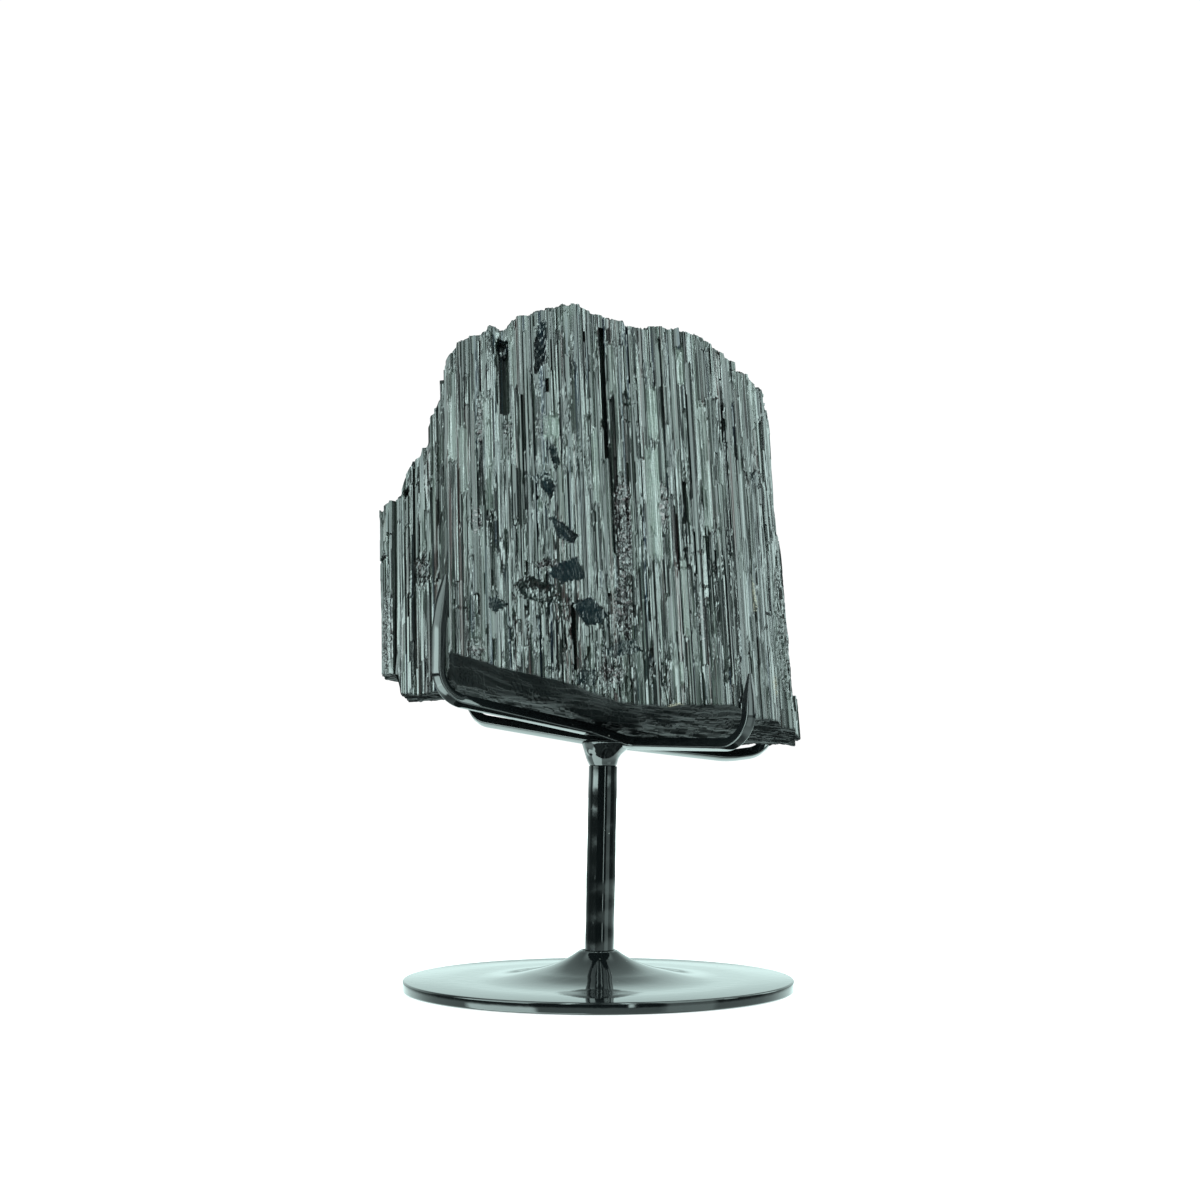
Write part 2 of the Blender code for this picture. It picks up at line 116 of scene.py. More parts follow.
CREST_FALL_BACK = 0.13
BREAK_EDGE = [
    (-70.0, 19.0), (-58.0, 18.0), (-56.0, 12.0), (-43.5, 12.0), (-42.5, 22.5), (-26.7, 14.4),
    (-10.0, 9.4), (6.3, 2.2), (18.0, 0.9), (28.0, 0.8), (37.0, 1.4), (41.0, -0.5), (44.0, -3.8), (70.0, -3.6),
]
BREAK_REACH = 9.0
FOOT_STEPS = [
    (-70.0, 4.8), (-57.6, 4.8), (-57.0, -1.2), (-43.5, 1.4), (-40.5, 1.6), (-40.0, 0.0), (34.0, 0.0),
    (46.0, 2.2), (70.0, 2.6),
]
LEVEL_PITCH = 0.35
LEVEL_FOOT = -14.0
LEVEL_HEAD = 127.0
# Stretches of the outline: first and last corner, column pitch, rows up the wall, random seed
STRETCHES = {
    "crystal_front": (0, 4, 0.25, 185, 21),
    "crystal_right": (4, 9, 0.33, 170, 22),
    "crystal_back": (9, 13, 0.55, 150, 23),
    "crystal_left": (13, 23, 0.35, 150, 24),
}
SPINE_HALF = 40.0
TOP_RINGS = 26
FOOT_RINGS = 44
# How far the far end of the right wall stands out, by height
RIGHT_SWELL = [
    (-10.0, 2.6), (7.0, 2.4), (7.5, 1.2), (35.0, 1.2), (56.0, 1.1), (58.0, 0.6), (90.0, 0.4),
    (110.0, 0.0),
]
RIGHT_SWELL_SPAN = [(18.0, 0.0), (25.0, 1.0), (48.0, 1.0), (58.0, 0.0)]
# Slopes of the small upright faces and how often each is met
FACE_SLOPES = (0.02, 0.06, 0.1, 0.16, 0.2, 0.28, 0.45, 0.75)
FACE_SHARES = (0.13, 0.18, 0.19, 0.15, 0.1, 0.12, 0.09, 0.04)

# Marks on the front face: how far along it, width, foot, head, depth
GROOVES = [
    (-23.4, 3.0, 90.0, 113.5, 3.6), (-22.8, 1.8, 77.0, 90.0, 1.5), (-30.4, 0.6, 97.5, 114.0, 0.9),
    (-30.8, 1.1, 62.0, 82.4, 1.6), (-10.8, 1.4, 96.4, 100.8, 2.2), (6.0, 2.0, 75.2, 116.5, 3.8),
    (-5.6, 1.5, 12.0, 31.2, 3.2), (28.0, 1.6, 50.8, 67.2, 2.6), (40.2, 0.5, 79.0, 98.8, 1.4),
    (40.9, 0.5, 52.4, 79.0, 1.4), (-36.9, 0.5, 30.0, 84.0, 0.8), (-18.3, 0.7, 60.0, 96.0, 0.9),
    (-1.4, 0.6, 58.0, 110.0, 0.9), (12.2, 0.6, 82.0, 112.0, 1.0), (22.9, 0.6, 60.0, 112.0, 0.9),
    (33.4, 0.7, 20.0, 86.0, 1.0), (36.6, 0.5, 44.0, 104.0, 0.8), (-12.9, 0.5, 14.0, 40.0, 0.9),
    (-27.6, 0.5, 24.0, 60.0, 0.7), (17.8, 0.7, 10.0, 42.0, 1.0), (24.6, 0.5, 4.0, 60.0, 0.8),
]
RIBS = [
    (-25.6, 1.5, 51.6, 81.2, -0.5), (-22.0, 0.7, 51.2, 76.0, -0.5), (8.2, 0.9, 75.2, 116.0, -0.6),
    (15.4, 0.9, 86.0, 95.2, -0.7), (-38.2, 1.2, 40.0, 104.0, -0.4), (-33.0, 1.5, 36.0, 92.0, -0.35),
    (2.6, 1.3, 40.0, 118.0, -0.4), (31.0, 1.6, 12.0, 104.0, -0.4), (38.6, 1.4, 6.0, 66.0, -0.45),
    (-17.0, 1.1, 44.0, 116.0, -0.35), (25.8, 1.0, 20.0, 76.0, -0.5), (11.0, 1.1, 62.0, 110.0, -0.4),
]
# Plates: how far along, width, foot, head, turn, how strongly painted sheen lightens them
PLATES = [
    (-10.0, 4.6, 81.2, 89.6, 0.1, 0.9), (-14.0, 1.6, 58.8, 64.0, 0.12, 0.6),
    (29.0, 2.2, 96.8, 109.6, 0.06, 0.7), (19.7, 3.0, 80.0, 97.2, 0.07, 0.8),
    (18.9, 4.0, 43.2, 78.4, 0.08, 0.7), (-33.2, 3.2, 19.2, 25.6, 0.1, 0.3),
    (-36.0, 2.6, 66.0, 88.0, -0.07, 0.4), (34.6, 2.4, 52.0, 92.0, 0.03, 0.5),
    (-20.4, 2.2, 98.0, 118.0, -0.06, 0.3), (-28.4, 2.6, 60.0, 96.0, -0.06, 0.4),
    (2.4, 1.8, 60.0, 84.0, 0.1, 0.6), (26.4, 1.6, 20.0, 44.0, 0.05, 0.6),
    (24.2, 1.2, 6.0, 14.0, 0.06, 0.8), (-39.2, 2.4, 76.0, 106.0, -0.08, 0.4),
    (8.6, 1.6, 94.0, 112.0, 0.06, 0.5),
]
CHIP_SLOPE = 0.21
CHIP_SIDES = 5
# Chips: along, height, half width, half height, turn in degrees, depth, how slaty, how rough
CHIPS = [
    (-24.2, 112.0, 1.9, 3.4, 0.0, 3.2, 0.3, 0.2),
    (-12.4, 110.8, 1.9, 9.5, -6.0, 2.2, 0.8, 0.15),
    (-11.4, 67.4, 2.4, 4.4, 20.0, 2.0, 0.9, 0.1),
    (-9.2, 76.0, 1.8, 5.0, 8.0, 1.8, 0.7, 0.2),
    (-7.6, 53.2, 1.7, 6.4, 42.0, 2.6, 0.9, 0.1),
    (-6.9, 41.0, 5.2, 3.7, 14.0, 3.2, 1.0, 0.05),
    (-15.8, 36.2, 6.2, 3.6, -14.0, 3.4, 0.25, 0.3),
    (-1.2, 29.4, 5.6, 4.4, -24.0, 3.2, 1.0, 0.08),
    (7.6, 17.6, 4.8, 2.6, 8.0, 2.6, 0.7, 0.3),
    (-2.4, 9.6, 3.6, 2.8, 20.0, 2.6, 0.6, 0.2),
    (-27.4, 32.6, 2.4, 2.2, 30.0, 1.4, 0.8, 0.2),
    (-13.4, 69.6, 4.0, 0.9, -10.0, 1.2, 0.6, 0.3),
]
# Areas of broken lath ends, left to right and low to high, with the number of laths
TEETH = [
    ((-16.0, 14.0, 6.0, 34.0), 60), ((-24.0, -4.0, 22.0, 50.0), 34), ((-36.0, -26.0, 50.0, 66.0), 14),
    ((2.0, 20.0, 0.0, 14.0), 22), ((24.0, 40.0, 30.0, 70.0), 16),
]
# Grainy patches: along, height, half width, half height, depth, sparkle
GRAINS = [
    (9.6, 54.0, 2.8, 17.5, 1.0, 0.7), (8.8, 29.0, 3.0, 9.0, 0.9, 0.6), (-32.6, 58.6, 1.7, 4.6, 0.9, 0.7),
    (-12.6, 43.6, 3.4, 1.7, 0.9, 0.8), (-22.6, 83.5, 1.4, 6.5, 0.9, 0.35), (21.6, 60.0, 1.5, 8.0, 0.8, 0.7),
    (4.6, 10.5, 4.5, 3.0, 0.9, 0.6), (-33.0, 20.0, 2.6, 3.2, 0.7, 0.5), (-30.8, 89.0, 1.2, 8.0, 0.6, 0.4),
    (-12.8, 86.0, 2.2, 4.0, 0.5, 0.35), (30.6, 24.0, 1.2, 9.0, 0.6, 0.4),
]
# The same marks on the other walls, the place being the distance along each wall
SIDE_GRAINS = {
    "crystal_right": [
        (27.0, 26.0, 9.0, 26.0, 0.6, 0.12), (31.0, 66.0, 8.0, 5.0, 1.0, 0.1),
        (34.0, 99.0, 14.0, 4.0, 0.7, 0.1),
    ],
    "crystal_back": [
        (22.0, 20.0, 7.0, 12.0, 0.9, 0.5), (58.0, 70.0, 3.0, 22.0, 0.9, 0.6),
        (74.0, 34.0, 5.0, 9.0, 0.8, 0.5),
    ],
    "crystal_left": [
        (60.2, 48.5, 2.4, 6.0, 1.3, 0.5), (45.0, 30.0, 6.5, 14.0, 0.5, 0.3),
        (10.0, 40.0, 4.0, 14.0, 0.8, 0.5),
    ],
}
SIDE_CHIPS = {
    "crystal_right": [
        (31.0, 58.0, 5.0, 3.4, 10.0, 1.8, 0.3, 0.4), (12.0, 70.0, 3.0, 2.4, 20.0, 0.0, 0.9, 0.1),
    ],
    "crystal_back": [
        (30.0, 60.0, 5.0, 4.0, 12.0, 0.0, 1.0, 0.1), (34.0, 48.0, 3.4, 4.4, -20.0, 0.0, 0.9, 0.1),
        (66.0, 92.0, 4.0, 7.0, 5.0, 0.0, 0.9, 0.1), (48.0, 24.0, 4.5, 3.0, -8.0, 2.6, 0.3, 0.3),
    ],
    "crystal_left": [
        (43.0, 55.5, 5.0, 1.5, 0.0, 2.2, 0.3, 0.2), (55.0, 73.4, 1.3, 1.4, 0.0, 2.6, 0.3, 0.1),
    ],
}
SIDE_GROOVES = {
    "crystal_right": [(3.0, 0.7, 40.0, 92.0, 1.0), (8.0, 0.7, 6.0, 60.0, 0.9)],
    "crystal_back": [
        (16.0, 2.0, 60.0, 112.0, 2.6), (44.0, 1.4, 50.0, 108.0, 2.2), (70.0, 1.6, 4.0, 40.0, 2.0),
    ],
    "crystal_left": [
        (57.2, 0.7, 27.0, 60.0, -0.5), (52.6, 1.0, 44.0, 80.0, 1.2), (63.4, 1.2, 38.0, 74.0, 1.6),
    ],
}
TAN_SPOTS = {
    "crystal_front": [(22.0, 0.6, 3.6, 1.5)],
    "crystal_right": [
        (7.0, 34.0, 1.3, 9.0), (36.0, 30.0, 1.3, 16.0), (35.7, 56.8, 1.2, 2.0), (15.0, 8.0, 3.0, 5.0),
    ],
    "crystal_left": [(44.0, 43.0, 1.2, 1.0), (44.6, 31.0, 1.0, 1.6)],
    "crystal_back": [(40.0, 30.0, 2.5, 5.0), (60.0, 76.0, 1.2, 7.0)],
}

# Camera: 50 mm lens on a 36 mm wide sensor, half a metre in front
LENS = 50.0
SENSOR = 36.0
CAMERA_PLACE = Vector((0.0, -0.49922, 0.05964))
CAMERA_PITCH = math.radians(6.312)
CAMERA_PAN = math.radians(0.058)
FLOOR_SIZE = 14.0
# Light patches and cards: azimuth and elevation of the middle, half sizes and edges in degrees, strength
SOFTBOXES = [
    ((0.0, 46.0), (8.0, 16.0), (2.0, 7.0), 1.15),
    ((-11.0, 46.0), (3.0, 16.0), (1.5, 7.0), 2.3),
    ((11.0, 46.0), (3.0, 16.0), (1.5, 7.0), 2.6),
    ((-19.5, 42.0), (3.4, 20.0), (1.2, 5.0), 15.0),
    ((19.5, 42.0), (3.4, 20.0), (1.2, 5.0), 16.0),
    ((-60.0, 10.0), (22.0, 8.5), (3.0, 1.5), 5.5),
    ((-58.0, -19.0), (22.0, 12.0), (3.0, 2.0), 7.0),
    ((-45.0, -44.0), (38.0, 14.0), (4.0, 3.0), 6.0),
    ((-64.0, 33.0), (25.0, 32.0), (3.0, 0.7), 4.0),
    ((54.0, 33.0), (16.0, 32.0), (3.0, 0.7), 4.2),
    ((54.0, -14.0), (16.0, 14.0), (3.0, 3.0), 1.3),
    ((82.0, 42.0), (5.0, 36.0), (1.5, 5.0), 6.5),
    ((98.0, 42.0), (6.0, 36.0), (3.0, 5.0), 0.8),
    ((118.0, 42.0), (9.0, 36.0), (2.0, 5.0), 3.8),
    ((-34.0, 60.0), (14.0, 16.0), (4.0, 4.0), 2.0),
]
# Dark cards: the lens stand straight in front, and the table's shadow below
DARK_CARDS = [((0.0, 3.0), (38.0, 8.5), (4.0, 2.0), 0.95), ((0.0, 48.0), (2.6, 50.0), (1.0, 4.0), 0.8)]
STRIP_LIGHT = ((18.5, 0.0), (1.5, 5.0), (0.8, 1.0), 9.0)
GLOW = (0.78, 1.0, 0.97)
# Gloss of the broken foot, where 0.5 is the full gloss
DULL_GLOSS = 0.05


class Signal:
    """One output of a node, which can be added, subtracted and multiplied like a number."""

    def __init__(self, recipe, socket):
        self.recipe = recipe
        self.socket = socket

    def _sum(self, operation, first, second):
        return self.recipe.node("ShaderNodeMath", {"operation": operation}, {0: first, 1: second})

    def __add__(self, other):
        return self._sum("ADD", self, other)

    def __radd__(self, other):
        return self._sum("ADD", other, self)

    def __sub__(self, other):
        return self._sum("SUBTRACT", self, other)

    def __rsub__(self, other):
        return self._sum("SUBTRACT", other, self)

    def __mul__(self, other):
        return self._sum("MULTIPLY", self, other)

    def __rmul__(self, other):
        return self._sum("MULTIPLY", other, self)

    def absolute(self):
        """The value without its sign."""
        return self.recipe.node("ShaderNodeMath", {"operation": "ABSOLUTE"}, {0: self})

    def between(self, low, high):
        """0 below low, 1 above high and smooth in between."""
        settings = {"interpolation_type": "SMOOTHSTEP"}
        return self.recipe.node("ShaderNodeMapRange", settings, {0: self, 1: low, 2: high, 3: 0.0, 4: 1.0})


class Recipe:
    """The node tree of one finish or of the light around the scene."""

    def __init__(self, tree):
        self.tree = tree
        tree.nodes.clear()

    def node(self, kind, settings=None, sockets=None, output=0):
        """Add a node with its settings, then its values and links."""
        made = self.tree.nodes.new(kind)
        for name, value in (settings or {}).items():
            setattr(made, name, value)
        for name, value in (sockets or {}).items():
            if isinstance(value, Signal):
                self.tree.links.new(value.socket, made.inputs[name])
            else:
                made.inputs[name].default_value = value
        return Signal(self, made.outputs[output]) if made.outputs else None

    def place(self):
        """The piece's own coordinates."""
        return self.node("ShaderNodeTexCoord", output="Object")

    def stretched(self, place, scale):
        """Coordinates with their own scale along each axis, per metre."""
        return self.node("ShaderNodeMapping", None, {"Vector": place, "Scale": scale})

    def noise(self, place, scale, detail=4.0, roughness=0.55):
        """Cloudy noise, about 0.5 on the whole."""
        sockets = {"Vector": place, "Scale": scale, "Detail": detail, "Roughness": roughness}
        return self.node("ShaderNodeTexNoise", None, sockets)

    def cells(self, place, scale, output="Distance"):
        """Cell pattern."""
        return self.node("ShaderNodeTexVoronoi", None, {"Vector": place, "Scale": scale}, output)

    def spread(self, name):
        """A value that the mesh carries at each point."""
        return self.node("ShaderNodeAttribute", {"attribute_name": name}, None, "Fac")

    def tint(self, share, first, second):
        """A colour between two colours."""
        settings = {"data_type": "RGBA", "clamp_factor": True}
        return self.node("ShaderNodeMix", settings, {0: share, 6: first, 7: second}, 2)

    def bump(self, height, distance):
        """Fine relief from a height."""
        return self.node("ShaderNodeBump", None, {"Height": height, "Distance": distance, "Strength": 1.0})


def new_finish(name):
    """An empty material with its node board."""
    finish = bpy.data.materials.new(name)
    finish.use_nodes = True
    return finish, Recipe(finish.node_tree)


def close_finish(recipe, sockets, dull_share=None):
    """Put the shader and the output at the end of a board, part of it less glossy if a share is given."""
    shader = recipe.node("ShaderNodeBsdfPrincipled", None, sockets)
    if dull_share:
        dull = recipe.node("ShaderNodeBsdfPrincipled", None, {**sockets, "Specular IOR Level": DULL_GLOSS})
        shader = recipe.node("ShaderNodeMixShader", None, {0: dull_share, 1: shader, 2: dull})
    recipe.node("ShaderNodeOutputMaterial", None, {"Surface": shader})


def rgb(red, green, blue):
    """An opaque colour."""
    return (red, green, blue, 1.0)


def stone_finish():
    """Near-black striated stone, slaty where it is chipped, glittery where it is crushed, its smooth plates
    lightened by painted sheen.
    """
    finish, recipe = new_finish("black_tourmaline")
    place = recipe.place()
    broken = recipe.spread("broken")
    sparkle = recipe.spread("sparkle")
    foot = recipe.spread("foot")
    tan = recipe.spread("tan")
    # pale carries the painted sheen of the plates
    pale = recipe.spread("pale")
    lines = recipe.noise(recipe.stretched(place, (1700.0, 1700.0, 26.0)), 1.0, 3.0, 0.5)
    streaks = recipe.noise(recipe.stretched(place, (700.0, 700.0, 14.0)), 1.0, 4.0, 0.6)
    hairs = recipe.noise(recipe.stretched(place, (8000.0, 8000.0, 140.0)), 1.0, 3.0, 0.6)
    frost_noise = recipe.noise(recipe.stretched(place, (330.0, 330.0, 20.0)), 1.0, 5.0, 0.6)
    fibres = recipe.noise(recipe.stretched(place, (180.0, 1500.0, 1500.0)), 1.0, 6.0, 0.65)
    cloud = recipe.noise(place, 45.0, 4.0, 0.6)
    grit = recipe.noise(place, 1900.0, 5.0, 0.7)
    grains = recipe.cells(place, 1500.0, output="Color")
    grain_tone = recipe.node("ShaderNodeSeparateColor", None, {"Color": grains})
    whole = (1 - broken) * (1 - foot)
    frost = (frost_noise * 0.75 + cloud * 0.25).between(0.48, 0.64) * whole
    black = rgb(0.003, 0.004, 0.0042)
    green = rgb(0.015, 0.021, 0.0165)
    brown = rgb(0.036, 0.022, 0.022)
    blue = rgb(0.008, 0.015, 0.028)
    slate = rgb(0.003, 0.0068, 0.0088)
    sheen_mottle = (grit * 0.6 + cloud * 0.4).between(0.42, 0.6)
    colour = recipe.tint(lines.between(0.42, 0.7), black, green)
    colour = recipe.tint(streaks.between(0.56, 0.68) * 0.8, colour, brown)
    colour = recipe.tint((1 - streaks).between(0.58, 0.7) * 0.8, colour, blue)
    colour = recipe.tint(frost * lines.between(0.3, 0.62) * 0.85, colour, rgb(0.034, 0.044, 0.037))
    # Painted sheen: the plates' colour is lightened to a mottled grey-green, standing in for the light they
    # reflect
    colour = recipe.tint(pale * (0.35 + sheen_mottle * 0.5), colour, rgb(0.085, 0.108, 0.09))
    colour = recipe.tint(broken * 0.9, colour, slate)
    colour = recipe.tint(foot * 0.9, colour, rgb(0.0015, 0.0024, 0.0026))
    colour = recipe.tint(foot * fibres.between(0.5, 0.75) * 0.7, colour, rgb(0.009, 0.012, 0.012))
    colour = recipe.tint(sparkle * 0.8, colour, rgb(0.012, 0.0085, 0.010))
    colour = recipe.tint(sparkle * grain_tone.between(0.8, 0.95) * 0.9, colour, rgb(0.2, 0.17, 0.175))
    tan_patch = (tan * 0.6 + grit * 0.9).between(0.98, 1.12)
    colour = recipe.tint(tan_patch * 0.8, colour, rgb(0.22, 0.195, 0.145))
    speck = (grit * 0.55 + cloud * 0.45).between(0.68, 0.71)
    colour = recipe.tint(speck * 0.7, colour, rgb(0.26, 0.22, 0.16))
    rough = 0.05 + lines.between(0.35, 0.7) * 0.08 + frost * 0.14 + broken * 0.07
    rough = rough + foot * 0.45 + tan_patch * 0.4
    upright = lines * 1.1 + hairs * 0.2
    relief = upright * whole + grit * (0.3 * broken + 1.4 * sparkle + 0.32) + fibres * foot * 0.8
    normal = recipe.bump(relief, 0.00004)
    close_finish(recipe, {"Base Color": colour, "Roughness": rough, "Normal": normal, "IOR": 1.63}, foot)
    return finish


def enamel_finish(name, peel=1.0):
    """Gloss black paint with a slight orange peel, dust and faint scratches."""
    finish, recipe = new_finish(name)
    place = recipe.place()
    peel_noise = recipe.noise(place, 340.0, 1.0, 0.5)
    cloud = recipe.noise(place, 60.0, 3.0, 0.5)
    dust = recipe.noise(place, 1500.0, 3.0, 0.7)
    motes = recipe.cells(place, 260.0)
    mote = (1 - motes.between(0.035, 0.075)) * (dust * 0.5 + cloud * 0.5).between(0.5, 0.58)
    scratch = recipe.noise(recipe.stretched(place, (60.0, 2200.0, 300.0)), 1.0, 3.0, 0.5).between(0.69, 0.74)
    colour = recipe.tint(cloud * 0.5, rgb(0.0022, 0.0028, 0.003), rgb(0.004, 0.005, 0.0055))
    colour = recipe.tint(mote * 0.7, colour, rgb(0.22, 0.22, 0.2))
    rough = 0.035 + cloud * 0.05 + mote * 0.4 + scratch * 0.12
    normal = recipe.bump(peel_noise * 0.3 + dust * 0.03 + mote * 0.8, 0.00006 * peel)
    close_finish(recipe, {"Base Color": colour, "Roughness": rough, "Normal": normal, "IOR": 1.52})
    return finish


def along_line(points, x):
    """Height of a line of (x, height) points at each x."""
    places, heights = zip(*points)
    return np.interp(x, places, heights)


def rumple(u, v, seed):
    """Smooth random relief between -1 and 1 over two coordinates."""
    table = np.random.default_rng(seed).uniform(-1.0, 1.0, (64, 64))
    low_u = np.floor(u).astype(int)
    low_v = np.floor(v).astype(int)
    share_u = (u - low_u) ** 2 * (3 - 2 * (u - low_u))
    share_v = (v - low_v) ** 2 * (3 - 2 * (v - low_v))
    near = table[low_u % 64, low_v % 64] * (1 - share_u) + table[(low_u + 1) % 64, low_v % 64] * share_u
    far_row = table[low_u % 64, (low_v + 1) % 64] * (1 - share_u)
    far = far_row + table[(low_u + 1) % 64, (low_v + 1) % 64] * share_u
    return near * (1 - share_v) + far * share_v


class Crest:
    """The broken top: every slender column ends at its own height and slope."""

    PITCH = 3.3

    def __init__(self):
        dice = np.random.default_rng(5)
        grid_x, grid_y = np.meshgrid(np.arange(-68, 62, self.PITCH), np.arange(-36, 36, self.PITCH))
        jitter = dice.uniform(-0.42, 0.42, (2, grid_x.size)) * self.PITCH
        self.x = grid_x.ravel() + jitter[0]
        self.y = grid_y.ravel() + jitter[1]
        self.drop = dice.uniform(0.0, 1.0, self.x.size) ** 4 * 2.4 + dice.uniform(-0.3, 0.4, self.x.size)
        self.slope = dice.uniform(-0.3, 0.3, (2, self.x.size))

    def height(self, x, y):
        """Height of the top over points of the plan."""
        flat_x, flat_y = x.ravel(), y.ravel()
        nearest = np.empty(x.size, int)
        for start in range(0, x.size, 8000):
            part = slice(start, start + 8000)
            gap = (flat_x[part, None] - self.x) ** 2 + (flat_y[part, None] - self.y) ** 2
            nearest[part] = gap.argmin(axis=1)
        crest = along_line(CREST, self.x[nearest]) * 0.3 + along_line(CREST, flat_x) * 0.7
        fall = CREST_FALL_BACK * np.maximum(0.0, flat_y + 24.0)
        off_x, off_y = flat_x - self.x[nearest], flat_y - self.y[nearest]
        lean = self.slope[0][nearest] * off_x + self.slope[1][nearest] * off_y
        grain = 0.12 * rumple(flat_x * 2.1, flat_y * 2.1, 9)
        return (crest - fall - self.drop[nearest] + lean + grain).reshape(x.shape)


def foot_height(x, y):
    """Height of the crystal's broken foot, rippled by fibres that run along the face."""
    floor = 3.5 - 0.17 * x + 0.05 * y + 0.0025 * y * y
    floor = floor + along_line(FOOT_STEPS, x)
    floor = floor + np.clip((-15.0 - x) / 25.0, 0.0, 1.0) * np.maximum(0.0, y + 12.0) * 0.11
    share = 1.0 - np.exp(-np.maximum(0.0, y + 33.0) / BREAK_REACH)
    edge = along_line(BREAK_EDGE, x)
    bend = 1.6 * rumple(x / 17.0, y / 9.0, 31)
    fibres = 0.4 * rumple(x / 9.0, (y + bend) / 1.7, 32) + 0.16 * rumple(x / 4.0, (y + bend) / 0.7, 33)
    chips = np.round(rumple(x / 5.0, y / 3.0, 34) * 2.4) * 0.3
    return edge * (1.0 - share) + floor * share + (bend * 0.5 + fibres + chips) * (0.25 + 0.75 * share)


class Wall:
    """One stretch of the crystal's upright side, as depths below the outline at columns and levels."""

    def __init__(self, name, crest):
        first, last, pitch, self.rows, seed = STRETCHES[name]
        self.name = name
        self.dice = np.random.default_rng(seed)
        corners = np.array([PLAN[i % len(PLAN)] for i in range(first, last + 1)])
        lengths = np.hypot(*np.diff(corners, axis=0).T)
        starts = np.concatenate([[0.0], np.cumsum(lengths)])
        self.count = round(starts[-1] / pitch) + 1
        self.place = np.linspace(0.0, starts[-1], self.count)
        self.pitch = self.place[1]
        self.x = np.interp(self.place, starts, corners[:, 0])
        self.y = np.interp(self.place, starts, corners[:, 1])
        if name == "crystal_front":
            self.place = self.place + corners[0][0]
        self.run_x, self.run_y = self._directions(corners)
        self.levels = np.arange(LEVEL_FOOT, LEVEL_HEAD, LEVEL_PITCH)
        shape = (self.count, self.levels.size)
        self.depth = np.zeros(shape)
        self.broken = np.zeros(shape)
        self.sparkle = np.zeros(shape)
        self.tan = np.zeros(shape)
        self.pale = np.zeros(shape)
        rim_x = self.x - self.run_y * 0.4
        rim_y = self.y + self.run_x * 0.4
        self.head = crest.height(rim_x, rim_y)
        self.foot = foot_height(rim_x, rim_y)

    def _directions(self, corners):
        """Unit direction along the outline at each column, turned smoothly at the corners."""
        run_x = np.gradient(self.x)
        run_y = np.gradient(self.y)
        width = max(3, int(2.4 / self.pitch)) | 1
        window = np.ones(width) / width
        run_x = np.convolve(np.pad(run_x, width // 2, mode="edge"), window, "valid")
        run_y = np.convolve(np.pad(run_y, width // 2, mode="edge"), window, "valid")
        index = PLAN.index(tuple(corners[0])), PLAN.index(tuple(corners[-1]))
        for column, corner in zip((0, -1), index):
            before = np.array(PLAN[corner - 1])
            after = np.array(PLAN[(corner + 1) % len(PLAN)])
            here = np.array(PLAN[corner])
            back = (here - before) / np.linalg.norm(here - before)
            ahead = (after - here) / np.linalg.norm(after - here)
            run_x[column], run_y[column] = back + ahead
        length = np.hypot(run_x, run_y)
        return run_x / length, run_y / length

    def columns_between(self, low, high):
        """Indices of the columns in a range along the wall."""
        return np.flatnonzero((self.place >= low) & (self.place <= high))

    def zigzag(self, width, reach, most=7):
        """Depths of small flat faces side by side, each turned its own way, that stay near the wall."""
        line = np.zeros(width + 1)
        column = 0
        while column < width:
            run = int(self.dice.integers(1, most + 1))
            slope = self.dice.choice(FACE_SLOPES, p=FACE_SHARES)
            outside = abs(line[column]) > reach
            ahead = -np.sign(line[column]) if outside else self.dice.choice((-1.0, 1.0))
            steps = np.arange(1, min(run, width - column) + 1)
            line[column + steps] = line[column] + ahead * slope * self.pitch * steps
            column += run
        return line[1:]

    def stand_columns(self, widths, setback):
        """Stand the main columns side by side for the wall's full height."""
        start = 0
        while start < self.count:
            width = max(3, int(self.dice.uniform(*widths) / self.pitch))
            stop = min(self.count, start + width)
            across = np.arange(stop - start)
            from_edge = np.minimum(across, stop - start - 1 - across) * self.pitch
            line = self.dice.uniform(0.0, setback) + 0.35 * np.clip(1.0 - from_edge / 0.4, 0.0, 1.0)
            line = line + self.dice.uniform(-0.13, 0.13) * (across - width / 2) * self.pitch
            self.depth[start:stop] = line[:, None]
            start = stop

    def stripe(self, layers, seed):
        """Run fine upright faces up the wall, lath by lath; each set comes and goes along its lath."""
        lath = np.searchsorted(np.cumsum(self.dice.uniform(0.5, 2.8, 400)), self.place - self.place[0])
        along, level = np.meshgrid(lath * 0.77, self.levels, indexing="ij")
        weights = [np.exp(12.0 * rumple(along, level / 30.0, seed + layer)) for layer in range(layers)]
        total = sum(weights)
        for weight in weights:
            self.depth += self.zigzag(self.count, 0.22)[:, None] * (weight / total)
        self.cut_seams(np.flatnonzero(np.diff(lath)))

    def cut_seams(self, columns):
        """Hairline seams up the joints between laths, here and there."""
        for column in np.concatenate([columns, self.dice.integers(2, self.count - 2, 2 * len(columns))]):
            middle = self.dice.uniform(LEVEL_FOOT, LEVEL_HEAD)
            length = math.exp(self.dice.uniform(math.log(6.0), math.log(70.0)))
            inside = abs(self.levels - middle) < length / 2
            self.depth[column, inside] += self.dice.uniform(0.15, 0.75)

